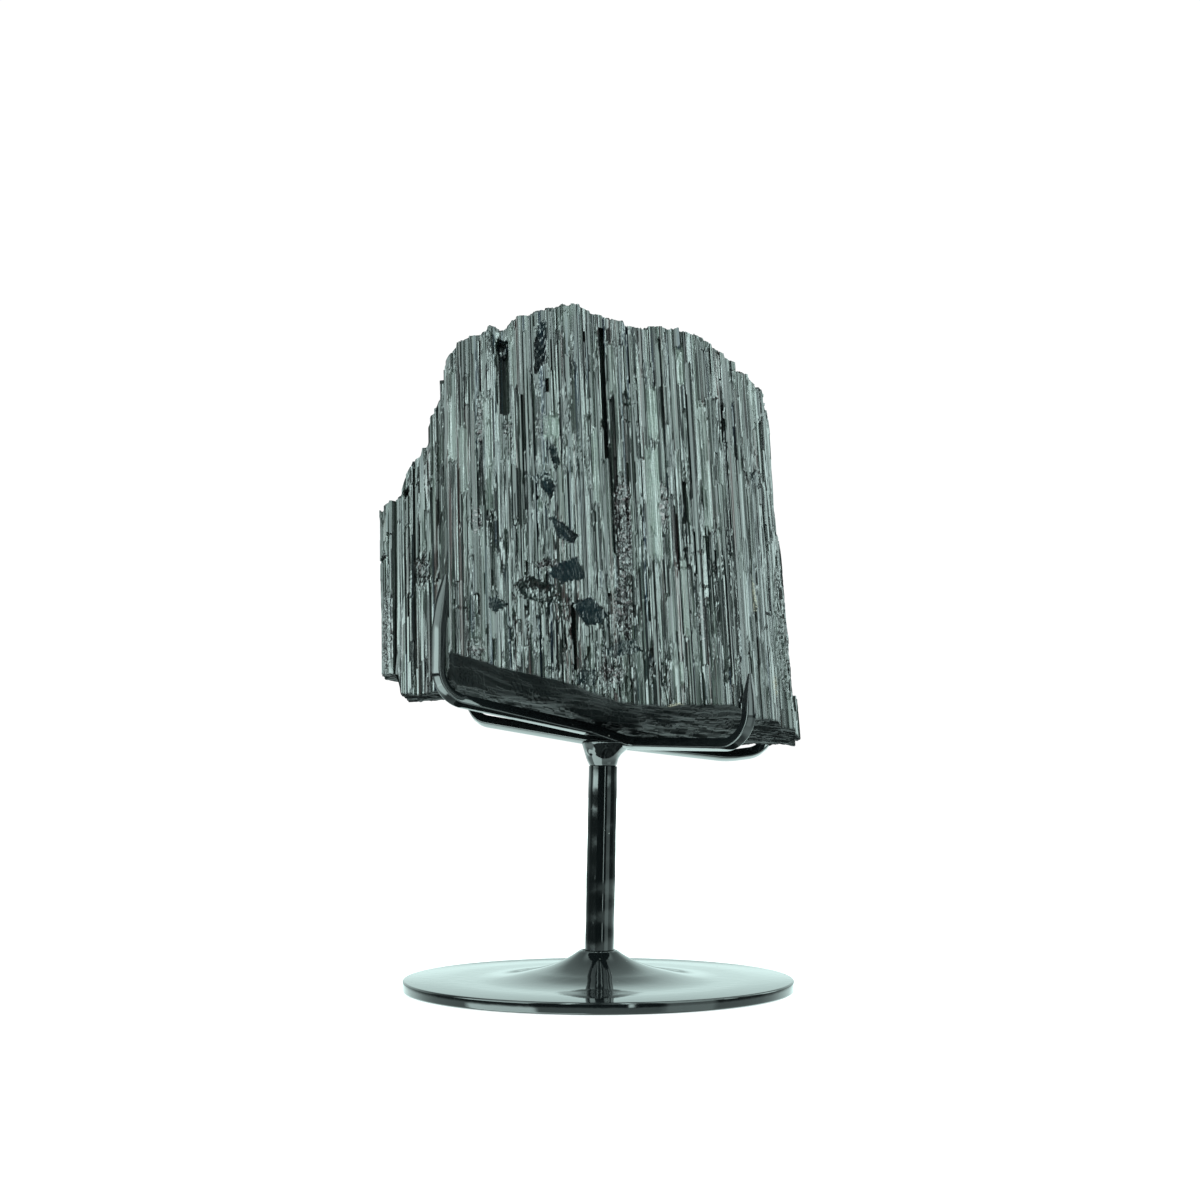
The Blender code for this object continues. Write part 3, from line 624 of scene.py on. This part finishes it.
    def lay_laths(self, count, widths, lengths, proud, area=None):
        """Lay laths over the wall at their own depths; their ends are ragged and some of them run out."""
        left, right, low_level, high_level = area or (self.place[0], self.place[-1], LEVEL_FOOT, LEVEL_HEAD)
        for _ in range(count):
            width = max(2, int(self.dice.uniform(*widths) / self.pitch))
            length = math.exp(self.dice.uniform(*np.log(lengths)))
            start = int((self.dice.uniform(left, right) - self.place[0]) / self.pitch)
            start = min(max(0, start), self.count - width)
            middle = self.dice.uniform(low_level, high_level)
            line = self.zigzag(width, 0.14) + self.dice.uniform(*proud)
            ragged = self.dice.normal(0.0, 0.5, (2, width)).cumsum(axis=1)
            fade = self.dice.choice((0.2, 0.2, 3.0, 7.0), 2)
            across = slice(start, start + width)
            low = (self.levels - (middle - length / 2 + ragged[0][:, None])) / fade[0]
            high = ((middle + length / 2 + ragged[1][:, None]) - self.levels) / fade[1]
            share = np.clip(np.minimum(low, high), 0.0, 1.0)
            self.depth[across] += (line[:, None] - 0.3 * self.depth[across]) * share

    def cut_grooves(self, marks):
        """Deep or shallow slots along the columns; a negative depth is a rib."""
        for along, width, foot, head, depth in marks:
            chosen = self.columns_between(along - width / 2, along + width / 2)
            inside = (self.levels >= foot) & (self.levels <= head)
            for column in chosen:
                edge = abs(self.place[column] - along) / (width / 2)
                wobble = self.dice.uniform(0.85, 1.1)
                profile = depth * wobble * (1.0 - 0.85 * edge)
                if depth > 0.0:
                    self.depth[column, inside] = np.maximum(self.depth[column, inside], profile)
                else:
                    self.depth[column, inside] = profile + 0.35 * edge

    def set_plates(self, plates):
        """Smooth faces that catch the light, their colour lightened by painted sheen."""
        for along, width, foot, head, tilt, pale in plates:
            columns = self.columns_between(along - width / 2, along + width / 2)
            level = self.depth[columns].mean() - 0.15
            for column in columns:
                ragged = self.dice.uniform(-0.8, 0.8, 2)
                near_end = np.minimum(self.levels - foot - ragged[0], head + ragged[1] - self.levels)
                share = np.clip(near_end / 1.2, 0.0, 1.0)
                plate = level + tilt * (self.place[column] - along) + 0.3 * self.depth[column]
                self.depth[column] += (plate - self.depth[column]) * share
                # Painted sheen, kept as the pale share that lightens the plate's colour
                self.pale[column] = np.maximum(self.pale[column], pale * share)

    def knock_chips(self, chips):
        """Chipped hollows: straight-edged slaty slopes that face down, or rough bowls."""
        along, level = np.meshgrid(self.place, self.levels, indexing="ij")
        for middle, height, half_width, half_height, turn, depth, slaty, rough in chips:
            cos, sin = math.cos(math.radians(turn)), math.sin(math.radians(turn))
            right = ((along - middle) * cos + (level - height) * sin) / half_width
            up = ((level - height) * cos - (along - middle) * sin) / half_height
            dice = np.random.default_rng(int(abs(middle * 10)))
            share = 0.07 * rumple(along / 0.5, level / 1.4, int(abs(middle * 10)))
            edges = []
            for i in range(CHIP_SIDES):
                angle = math.tau * (i + dice.uniform(-0.35, 0.35)) / CHIP_SIDES
                reach = dice.uniform(0.6, 1.0)
                edges.append((math.cos(angle) * right + math.sin(angle) * up) / reach)
            share = share + np.max(edges, axis=0)
            inside = share < 1.0
            slope = CHIP_SLOPE * half_height * (1.0 - up)
            bowl = depth * np.clip(2.0 - 2.0 * share, 0.0, 1.0)
            floor = 0.1 + slope * (slaty >= 0.5) + bowl * (slaty < 0.5)
            floor = floor + rough * rumple(along / 0.9, level / 1.6, 77) * 0.4 + rough * self.depth
            self.depth[inside] = floor[inside]
            self.broken[inside] = np.maximum(self.broken, slaty)[inside]

    def blocks(self, width, height, turned):
        """A patchwork of random depths, each patch about the given size and turned its own way."""
        wide = max(2, round(width / self.pitch))
        tall = max(2, round(height / LEVEL_PITCH))
        shape = (self.count // wide + 2, self.levels.size // tall + 2)
        offsets = self.dice.integers(0, tall, shape[0])
        column = np.arange(self.count)[:, None]
        level = np.arange(self.levels.size) + offsets[column // wide]
        patch = (column // wide, np.minimum(level // tall, shape[1] - 1))
        rise = self.dice.uniform(-turned, turned, shape)[patch] * (level % tall - tall / 2) * LEVEL_PITCH
        swing = self.dice.uniform(-turned, turned, shape)[patch] * (column % wide - wide / 2) * self.pitch
        return self.dice.uniform(0.0, 0.6, shape)[patch] + rise + swing

    def crush_grains(self, patches):
        """Crumbled patches of short broken pieces."""
        along, level = np.meshgrid(self.place, self.levels, indexing="ij")
        long_pieces = self.blocks(0.7, 3.2, 0.2)
        short_pieces = self.blocks(0.75, 1.1, 0.8)
        for middle, height, half_width, half_height, depth, sparkle in patches:
            ragged = 0.35 * rumple(along / 1.1, level / 3.0, 51)
            share = ((along - middle) / half_width) ** 2 + ((level - height) / half_height) ** 2 + ragged
            inside = share < 1.0
            strength = np.clip(1.8 * (1.0 - share), 0.0, 1.0) * depth
            pieces = long_pieces * (1.0 - sparkle) + short_pieces * (0.3 + 0.7 * sparkle)
            self.depth[inside] += (pieces * strength)[inside]
            glitter = sparkle * np.clip(1.6 - 1.6 * share, 0.0, 1.0)
            self.sparkle[inside] = np.maximum(self.sparkle, glitter)[inside]

    def crack_across(self, count):
        """Short hairline cracks across the columns."""
        for _ in range(count):
            width = max(2, int(self.dice.uniform(0.8, 5.0) / self.pitch))
            start = int(self.dice.integers(0, max(1, self.count - width)))
            level = int(self.dice.integers(2, self.levels.size - 4))
            drift = np.cumsum(self.dice.integers(-1, 2, width)) // 2
            for step in range(width):
                row = int(np.clip(level + drift[step], 0, self.levels.size - 3))
                self.depth[start + step, row:row + 2] += 0.2

    def spot_tan(self, spots):
        """Cream and tan grains caught between the columns."""
        along, level = np.meshgrid(self.place, self.levels, indexing="ij")
        for middle, height, half_width, half_height in spots:
            share = ((along - middle) / half_width) ** 2 + ((level - height) / half_height) ** 2
            self.tan = np.maximum(self.tan, np.clip(1.3 - share, 0.0, 1.0))

    def swell(self, heights, span):
        """Let part of the wall stand out further at some heights."""
        out = along_line(heights, self.levels)
        self.depth -= along_line(span, self.place)[:, None] * out

    def settle(self):
        """Keep the depths within bounds and the stretch's two end columns plain."""
        self.depth = np.clip(self.depth, -3.6, 4.5)
        self.depth[0] = self.depth[-1] = 0.35

    def grid(self):
        """Points, rows by columns, with ledges and lath edges pulled crisp."""
        share = np.linspace(0.0, 1.0, self.rows)
        z = self.foot[:, None] + (self.head - self.foot)[:, None] * share
        level = np.clip(((z - LEVEL_FOOT) / LEVEL_PITCH).astype(int), 0, self.levels.size - 1)
        column = np.arange(self.count)[:, None]
        depth = self.depth[column, level]
        step = (z[:, 1] - z[:, 0])[:, None] * 0.42
        ledge = np.abs(np.diff(depth, axis=1)) > 0.2
        z[:, :-1] += ledge * step
        z[:, 1:] -= ledge * step
        z[:, 0] = self.foot
        z[:, -1] = self.head
        slide = np.zeros_like(depth)
        wall_step = np.abs(np.diff(depth, axis=0)) > 0.28
        slide[:-1] += wall_step * 0.4 * self.pitch
        slide[1:] -= wall_step * 0.4 * self.pitch
        slide[0] = slide[-1] = 0.0
        x = self.x[:, None] - self.run_y[:, None] * depth + self.run_x[:, None] * slide
        y = self.y[:, None] + self.run_x[:, None] * depth + self.run_y[:, None] * slide
        kinds = [field[column, level] for field in (self.broken, self.sparkle, self.tan, self.pale)]
        return x, y, z, kinds


def ring_shares(count, power):
    """How far each ring of a cap has gone from the rim to the spine."""
    return (np.arange(1, count + 1) / count) ** power


def cap_grid(x, y, shares, height_at):
    """Rings from a rim in towards the spine, at the height of the broken surface."""
    spine_x = np.clip(x, -SPINE_HALF, SPINE_HALF)
    ring_x = x[:, None] + (spine_x - x)[:, None] * shares
    ring_y = y[:, None] * (1.0 - shares)
    return ring_x, ring_y, height_at(ring_x, ring_y)


def wall_mesh(wall, crest):
    """A closed mesh of one stretch: its upright side, broken top, broken foot and hidden inner faces."""
    x, y, z, kinds = wall.grid()
    top = cap_grid(x[:, -1], y[:, -1], ring_shares(TOP_RINGS, 1.3), crest.height)
    under = cap_grid(x[:, 0], y[:, 0], ring_shares(FOOT_RINGS, 1.5), foot_height)
    parts = zip(under, (x, y, z), top)
    points = [np.concatenate([low[:, ::-1], side, high], axis=1) for low, side, high in parts]
    columns, rows = points[0].shape
    verts = np.stack(points, axis=-1).reshape(-1, 3) * MM
    index = np.arange(columns * rows).reshape(columns, rows)
    quads = np.stack([index[:-1, :-1], index[1:, :-1], index[1:, 1:], index[:-1, 1:]], axis=-1).reshape(-1, 4)
    spine = np.stack([index[:-1, 0], index[:-1, -1], index[1:, -1], index[1:, 0]], axis=-1)
    faces = quads.tolist() + spine.tolist() + [index[0].tolist(), index[-1, ::-1].tolist()]
    mesh = bpy.data.meshes.new(wall.name)
    mesh.from_pydata(verts.tolist(), [], faces)
    blank_low = np.zeros((columns, FOOT_RINGS))
    blank_high = np.zeros((columns, TOP_RINGS))
    fields = dict(zip(("broken", "sparkle", "tan", "pale"), kinds))
    for name, field in fields.items():
        spread_over(mesh, name, np.concatenate([blank_low, field, blank_high], axis=1))
    foot = np.concatenate([blank_low + 1.0, np.zeros_like(x), blank_high + 0.35], axis=1)
    foot[:, FOOT_RINGS] = 0.6
    spread_over(mesh, "foot", foot)
    return tidy_mesh(mesh)


def spread_over(mesh, name, values):
    """Store a value at each point of a mesh."""
    mesh.attributes.new(name, "FLOAT", "POINT").data.foreach_set("value", values.ravel().astype(np.float32))


def tidy_mesh(mesh, merge=1e-7):
    """Merge coincident points, split the many-sided faces and turn every face outwards."""
    bm = bmesh.new()
    bm.from_mesh(mesh)
    bmesh.ops.remove_doubles(bm, verts=bm.verts, dist=merge)
    bmesh.ops.triangulate(bm, faces=[face for face in bm.faces if len(face.verts) > 4])
    bmesh.ops.recalc_face_normals(bm, faces=bm.faces)
    bm.to_mesh(mesh)
    bm.free()
    return mesh


def add_piece(name, mesh, finish, slot, *nodes):
    """Link a piece, give it its finish, and let it stand for its nodes of the frame."""
    piece = bpy.data.objects.new(name, mesh)
    bpy.context.scene.collection.objects.link(piece)
    mesh.materials.clear()
    mesh.materials.append(finish)
    if nodes:
        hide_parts(*nodes)
    return piece


def dress_front(wall):
    """The front face as the photograph shows it."""
    wall.stand_columns((1.6, 5.0), 0.6)
    wall.stripe(4, 60)
    wall.lay_laths(110, (0.6, 3.0), (12.0, 80.0), (-0.25, 0.3))
    wall.lay_laths(150, (0.4, 1.3), (2.0, 18.0), (-0.12, 0.3))
    for area, count in TEETH:
        wall.lay_laths(count, (0.5, 1.6), (4.0, 15.0), (-0.3, 1.1), area)
    wall.crush_grains(GRAINS)
    wall.cut_grooves(GROOVES)
    wall.cut_grooves(RIBS)
    wall.set_plates(PLATES)
    wall.crack_across(12)
    wall.knock_chips(CHIPS)


def dress_side(wall, laths, cracks):
    """A side face: long columns, laths and cracks."""
    wall.stand_columns((1.6, 5.5), 0.9)
    wall.stripe(4, 80)
    wall.lay_laths(laths, (0.7, 3.4), (8.0, 70.0), (-0.25, 0.4))
    wall.lay_laths(laths, (0.6, 1.6), (1.5, 16.0), (-0.12, 0.35))
    wall.crush_grains(SIDE_GRAINS[wall.name])
    wall.cut_grooves(SIDE_GROOVES[wall.name])
    wall.crack_across(cracks)
    wall.knock_chips(SIDE_CHIPS[wall.name])
    if wall.name == "crystal_right":
        wall.swell(RIGHT_SWELL, RIGHT_SWELL_SPAN)


def build_crystal(finish):
    """The whole crystal, in four stretches round its outline."""
    crest = Crest()
    turn = Matrix.Rotation(LEAN_LEFT, 3, "Y") @ Matrix.Rotation(LEAN_BACK, 3, "X")
    for name in STRETCHES:
        wall = Wall(name, crest)
        if name == "crystal_front":
            dress_front(wall)
        else:
            dress_side(wall, 90, 16)
        wall.spot_tan(TAN_SPOTS[name])
        wall.settle()
        piece = add_piece(name, wall_mesh(wall, crest), finish, "black_tourmaline", "crystal")
        piece.location = CRYSTAL_ORIGIN * MM
        piece.rotation_euler = turn.to_euler()
        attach(piece, "root")


def flare_height(radius):
    """Height of the flared neck above the disc's top at a radius."""
    share = min(1.0, max(0.0, (radius - FLARE_FADE) / (FLARE_RADIUS - FLARE_FADE)))
    faded = 1.0 - share * share * (3.0 - 2.0 * share)
    return NECK_HEIGHT * math.exp((NECK_RADIUS - radius) / FLARE_FALL) * faded


def arc(middle, radius, start, end, steps):
    """Points of a small arc in the profile, angles in degrees."""
    angles = [math.radians(start + (end - start) * i / steps) for i in range(steps + 1)]
    return [(middle[0] + radius * math.cos(a), middle[1] + radius * math.sin(a)) for a in angles]


def foot_profile():
    """Radius and height down the foot's outer side, from the socket's floor to the underside."""
    neck_top = DISC_THICKNESS + NECK_HEIGHT
    socket = POST_RADIUS + 0.3
    points = [(0.0, SOCKET_FLOOR), (socket, SOCKET_FLOOR), (socket, neck_top - 0.7)]
    points.append((socket + 0.3, neck_top - 0.1))
    points += arc((NECK_RADIUS - 0.35, neck_top - 0.25), 0.35, 100.0, 20.0, 6)
    steps = 60
    for i in range(1, steps + 1):
        radius = NECK_RADIUS + (FLARE_RADIUS - NECK_RADIUS) * (i / steps) ** 1.3
        points.append((radius, DISC_THICKNESS + flare_height(radius)))
    points.append((FLARE_RADIUS + 5.0, DISC_THICKNESS))
    rim = DISC_RADIUS - RIM_ROUNDING
    points += arc((rim, DISC_THICKNESS - RIM_ROUNDING), RIM_ROUNDING, 90.0, 0.0, 6)
    points += arc((rim, RIM_ROUNDING), RIM_ROUNDING, 0.0, -90.0, 6)
    return points + [(40.0, 0.0), (20.0, 0.0), (0.0, 0.0)]


def turned_mesh(name, profile, segments):
    """A mesh turned about Z."""
    bm = bmesh.new()
    rings = []
    for radius, height in profile:
        if radius == 0.0:
            rings.append([bm.verts.new((0.0, 0.0, height * MM))] * segments)
            continue
        ring = []
        for i in range(segments):
            angle = math.tau * i / segments
            place = (radius * math.cos(angle), radius * math.sin(angle), height)
            ring.append(bm.verts.new(Vector(place) * MM))
        rings.append(ring)
    for upper, lower in zip(rings, rings[1:]):
        for i in range(segments):
            j = (i + 1) % segments
            corners = [upper[i], lower[i], lower[j], upper[j]]
            bm.faces.new(list(dict.fromkeys(corners)))
    bmesh.ops.recalc_face_normals(bm, faces=bm.faces)
    mesh = bpy.data.meshes.new(name)
    bm.to_mesh(mesh)
    bm.free()
    mesh.shade_smooth()
    return mesh


def build_foot(finish):
    """The foot disc."""
    mesh = turned_mesh("foot_disc", foot_profile(), FOOT_SEGMENTS)
    mesh.set_sharp_from_angle(angle=math.radians(50.0))
    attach(add_piece("foot_disc", mesh, finish, "black_enamel", "base"), "root")


def build_post(finish):
    """The round post, a little uneven under its paint."""
    way = (POST_HEAD - POST_FOOT) * MM
    rows = 120
    profile = [(0.0, 0.0)]
    for i in range(rows + 1):
        share = i / rows
        swell = 0.03 * math.sin(share * 17.0) + 0.02 * math.sin(share * 43.0 + 1.0)
        profile.append((POST_RADIUS - 0.04 + swell, share * way.length / MM))
    profile.append((0.0, way.length / MM))
    mesh = turned_mesh("post_rod", profile, 96)
    mesh.set_sharp_from_angle(angle=math.radians(50.0))
    piece = add_piece("post_rod", mesh, finish, "black_enamel", "post")
    piece.location = POST_FOOT * MM
    piece.rotation_euler = way.to_track_quat("Z", "Y").to_euler()
    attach(piece, "root")


def rounded_route(corners):
    """Points along straight runs whose corners are rounded by arcs."""
    points = [Vector(corners[0][0])]
    for (before, _), (here, radius), (after, _) in zip(corners, corners[1:], corners[2:]):
        corner = Vector(here)
        back = (Vector(before) - corner).normalized()
        ahead = (Vector(after) - corner).normalized()
        half = back.angle(ahead) / 2
        cut = min(radius / math.tan(half), 0.45 * (Vector(after) - corner).length)
        middle = corner + (back + ahead).normalized() * cut / math.cos(half)
        start = corner + back * cut - middle
        end = corner + ahead * cut - middle
        for i in range(BEND_STEPS + 1):
            outward = start.normalized().slerp(end.normalized(), i / BEND_STEPS)
            points.append(middle + outward * start.length)
    points.append(Vector(corners[-1][0]))
    return points


def bar_section():
    """The bar's cross-section as a closed curve: a square on its corner with rounded edges."""
    curve = bpy.data.curves.new("bar_section", "CURVE")
    spline = curve.splines.new("POLY")
    half = BAR_WIDTH / 2 - BAR_EDGE
    points = []
    for quarter in range(4):
        start = quarter * 90.0
        corner = Vector((half, half)) @ Matrix.Rotation(-math.radians(start), 2)
        points += arc(corner, BAR_EDGE, start, start + 90.0, 4)
    spline.points.add(len(points) - 1)
    turn = Matrix.Rotation(math.radians(45.0), 2)
    for point, place in zip(spline.points, points):
        x, y = turn @ Vector(place)
        point.co = (x * MM, y * MM, 0.0, 1.0)
    spline.use_cyclic_u = True
    section = bpy.data.objects.new("bar_section", curve)
    bpy.context.scene.collection.objects.link(section)
    return section


def build_bar(name, corners, rolls, node, finish):
    """One bent bar of the cradle, its tips drawn to a point."""
    points = rounded_route(corners)
    inward = (points[1] - points[0]).normalized(), (points[-2] - points[-1]).normalized()
    head = [points[0] + inward[0] * TIP_LENGTH * i / 6 for i in range(7)]
    tail = [points[-1] + inward[1] * TIP_LENGTH * i / 6 for i in range(6, -1, -1)]
    route = head + points[1:-1] + tail
    taper = [TIP_SCALE + (1.0 - TIP_SCALE) * math.sin(math.pi / 2 * i / 6) for i in range(7)]
    scales = taper + [1.0] * (len(points) - 2) + taper[::-1]
    section = bar_section()
    curve = bpy.data.curves.new(name, "CURVE")
    curve.dimensions = "3D"
    curve.twist_mode = "MINIMUM"
    curve.bevel_mode = "OBJECT"
    curve.bevel_object = section
    curve.use_fill_caps = True
    spline = curve.splines.new("POLY")
    spline.points.add(len(route) - 1)
    roll_line = [(-ROLL_SPAN, rolls[0]), (ROLL_SPAN, rolls[1])]
    for point, place, scale in zip(spline.points, route, scales):
        point.co = (*(place * MM), 1.0)
        point.radius = scale
        point.tilt = math.radians(along_line(roll_line, place.x))
    bar = bpy.data.objects.new(name, curve)
    bpy.context.scene.collection.objects.link(bar)
    bpy.context.view_layer.update()
    mesh = bpy.data.meshes.new_from_object(bar.evaluated_get(bpy.context.evaluated_depsgraph_get()))
    bpy.data.objects.remove(bar)
    bpy.data.objects.remove(section)
    tidy_mesh(mesh, 1e-6)
    mesh.shade_smooth()
    mesh.set_sharp_from_angle(angle=math.radians(50.0))
    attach(add_piece(name, mesh, finish, "black_enamel", node), "root")


def build_weld(finish):
    """The lump of weld that runs up from the post and spreads under the bars."""
    bm = bmesh.new()
    dice = np.random.default_rng(8)
    steps = 16
    for i in range(steps + 1):
        share = i / steps
        left = along_line(WELD_LEFT, share)
        right = along_line(WELD_RIGHT, share)
        half_y = 4.2 + 3.4 * share ** 1.9
        middle = Vector((1.4 + (right - left) / 2, -1.0 * share, 65.4 + (WELD_HEAD.z - 65.4) * share))
        size = Matrix.Diagonal(((right + left) / 2, half_y, 1.4, 1.0))
        place = Matrix.Scale(MM, 4) @ Matrix.Translation(middle) @ size
        bmesh.ops.create_uvsphere(bm, u_segments=28, v_segments=14, radius=1.0, matrix=place)
    for i in range(9):
        angle = dice.uniform(0, 2 * math.pi)
        rise = dice.uniform(0.0, 1.0)
        side = along_line(WELD_RIGHT if math.cos(angle) > 0 else WELD_LEFT, rise)
        size = dice.uniform(0.8, 1.5)
        across = (side - 1.1) * math.cos(angle)
        depth = (3.2 + 3.0 * rise ** 1.9) * math.sin(angle)
        middle = Vector((1.5 + across, depth - rise, 65.6 + 5.9 * rise))
        place = Matrix.Scale(MM, 4) @ Matrix.Translation(middle)
        bmesh.ops.create_icosphere(bm, subdivisions=2, radius=size, matrix=place)
    mesh = bpy.data.meshes.new("weld_lump")
    bm.to_mesh(mesh)
    bm.free()
    lump = bpy.data.objects.new("weld_raw", mesh)
    bpy.context.scene.collection.objects.link(lump)
    remesh = lump.modifiers.new("Join", "REMESH")
    remesh.mode = "VOXEL"
    remesh.voxel_size = WELD_GRAIN * MM
    soften = lump.modifiers.new("Soften", "SMOOTH")
    soften.iterations = 14
    bpy.context.view_layer.update()
    joined = bpy.data.meshes.new_from_object(lump.evaluated_get(bpy.context.evaluated_depsgraph_get()))
    joined.name = "weld_lump"
    bpy.data.objects.remove(lump)
    joined.shade_smooth()
    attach(add_piece("weld_lump", joined, finish, "black_enamel", "weld"), "root")


def build_floor():
    """A pale floor, far wider than the view."""
    bm = bmesh.new()
    bmesh.ops.create_grid(bm, x_segments=1, y_segments=1, size=FLOOR_SIZE / 2)
    mesh = bpy.data.meshes.new("floor")
    bm.to_mesh(mesh)
    bm.free()
    finish, recipe = new_finish("pale_floor")
    cloud = recipe.noise(recipe.place(), 3.0, 3.0)
    colour = recipe.tint(cloud, rgb(0.34, 0.35, 0.35), rgb(0.38, 0.39, 0.39))
    sockets = {"Base Color": colour, "Roughness": 0.8 + cloud * 0.1, "Specular IOR Level": 0.1,
               "Emission Color": rgb(1.0, 1.0, 1.0), "Emission Strength": 0.75}
    close_finish(recipe, sockets)
    mesh.materials.append(finish)
    floor = bpy.data.objects.new("floor", mesh)
    bpy.context.scene.collection.objects.link(floor)
    floor.location.z = -0.0002
    floor.visible_glossy = False


def softbox(azimuth, elevation, middle, half, soft):
    """A soft-edged patch of light at a direction, in degrees."""
    across = (azimuth - math.radians(middle[0])).absolute()
    up = (elevation - math.radians(middle[1])).absolute()
    in_width = 1 - across.between(math.radians(half[0] - soft[0]), math.radians(half[0] + soft[0]))
    in_height = 1 - up.between(math.radians(half[1] - soft[1]), math.radians(half[1] + soft[1]))
    return in_width * in_height


def light_studio():
    """Pale all round, with softboxes in front, above and at both sides, and a dark card at the lens."""
    world = bpy.data.worlds.new("studio")
    world.use_nodes = True
    bpy.context.scene.world = world
    recipe = Recipe(world.node_tree)
    direction = recipe.node("ShaderNodeTexCoord", output="Generated")
    parts = recipe.node("ShaderNodeSeparateXYZ", None, {0: direction})
    towards = recipe.node("ShaderNodeSeparateXYZ", None, {0: direction}, "Y")
    upwards = recipe.node("ShaderNodeSeparateXYZ", None, {0: direction}, "Z")
    azimuth = recipe.node("ShaderNodeMath", {"operation": "ARCTAN2"}, {0: parts, 1: towards * -1.0})
    elevation = recipe.node("ShaderNodeMath", {"operation": "ARCSINE"}, {0: upwards})
    behind = azimuth.absolute().between(math.radians(106.0), math.radians(116.0))
    above = elevation.between(math.radians(-2.0), math.radians(4.0))
    skyline = 1 - elevation.between(math.radians(4.5), math.radians(8.5))
    high = elevation.between(math.radians(18.0), math.radians(34.0))
    aside = parts.absolute().between(0.12, 0.3)
    under = 1 - elevation.between(math.radians(-6.5), math.radians(-3.5))
    steep = 1 - elevation.between(math.radians(-45.0), math.radians(-15.0))
    to_back = towards.between(0.4, 0.7)
    deep = 1 - elevation.between(math.radians(-62.0), math.radians(-44.0))
    table = under * (1.1 + steep * 1.1) * (1 - deep * 0.8) * (1 + to_back * 0.55)
    backdrop = behind * (0.2 + above * (0.74 + skyline * 0.25) * (1 - high * 0.8))
    light = 0.07 + above * 0.22 + backdrop + table
    light = light + elevation.between(math.radians(48.0), math.radians(70.0)) * aside * 2.4
    for patch in SOFTBOXES:
        light = light + softbox(azimuth, elevation, *patch[:3]) * patch[3]
    for patch in DARK_CARDS:
        light = light * (1 - softbox(azimuth, elevation, *patch[:3]) * patch[3])
    light = light + softbox(azimuth, elevation, *STRIP_LIGHT[:3]) * STRIP_LIGHT[3]
    glow = recipe.node("ShaderNodeBackground", None, {"Color": rgb(*GLOW), "Strength": light})
    paper = recipe.node("ShaderNodeBackground", None, {"Color": rgb(1.0, 1.0, 1.0), "Strength": 1.05})
    seen = recipe.node("ShaderNodeLightPath", None, None, "Is Camera Ray")
    both = recipe.node("ShaderNodeMixShader", None, {0: seen, 1: glow, 2: paper})
    recipe.node("ShaderNodeOutputWorld", None, {"Surface": both})


def place_camera():
    """The photograph's viewpoint: low and straight in front, looking slightly up."""
    data = bpy.data.cameras.new("camera")
    data.lens = LENS
    data.sensor_width = SENSOR
    camera = bpy.data.objects.new("camera", data)
    bpy.context.scene.collection.objects.link(camera)
    camera.location = CAMERA_PLACE
    camera.rotation_euler = Euler((math.pi / 2 + CAMERA_PITCH, 0.0, -CAMERA_PAN))
    bpy.context.scene.camera = camera


def main():
    """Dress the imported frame."""
    bpy.context.scene.view_settings.view_transform = "Standard"
    place_camera()
    light_studio()
    build_floor()
    stone = stone_finish()
    enamel = enamel_finish("black_enamel")
    weld = enamel_finish("black_enamel_over_weld", 1.6)
    build_foot(enamel)
    build_post(enamel)
    build_bar("cradle_bar_front", FRONT_BAR, FRONT_ROLLS, "front_cradle", enamel)
    build_bar("cradle_bar_back", BACK_BAR, BACK_ROLLS, "back_cradle", enamel)
    build_weld(weld)
    build_crystal(stone)


main()
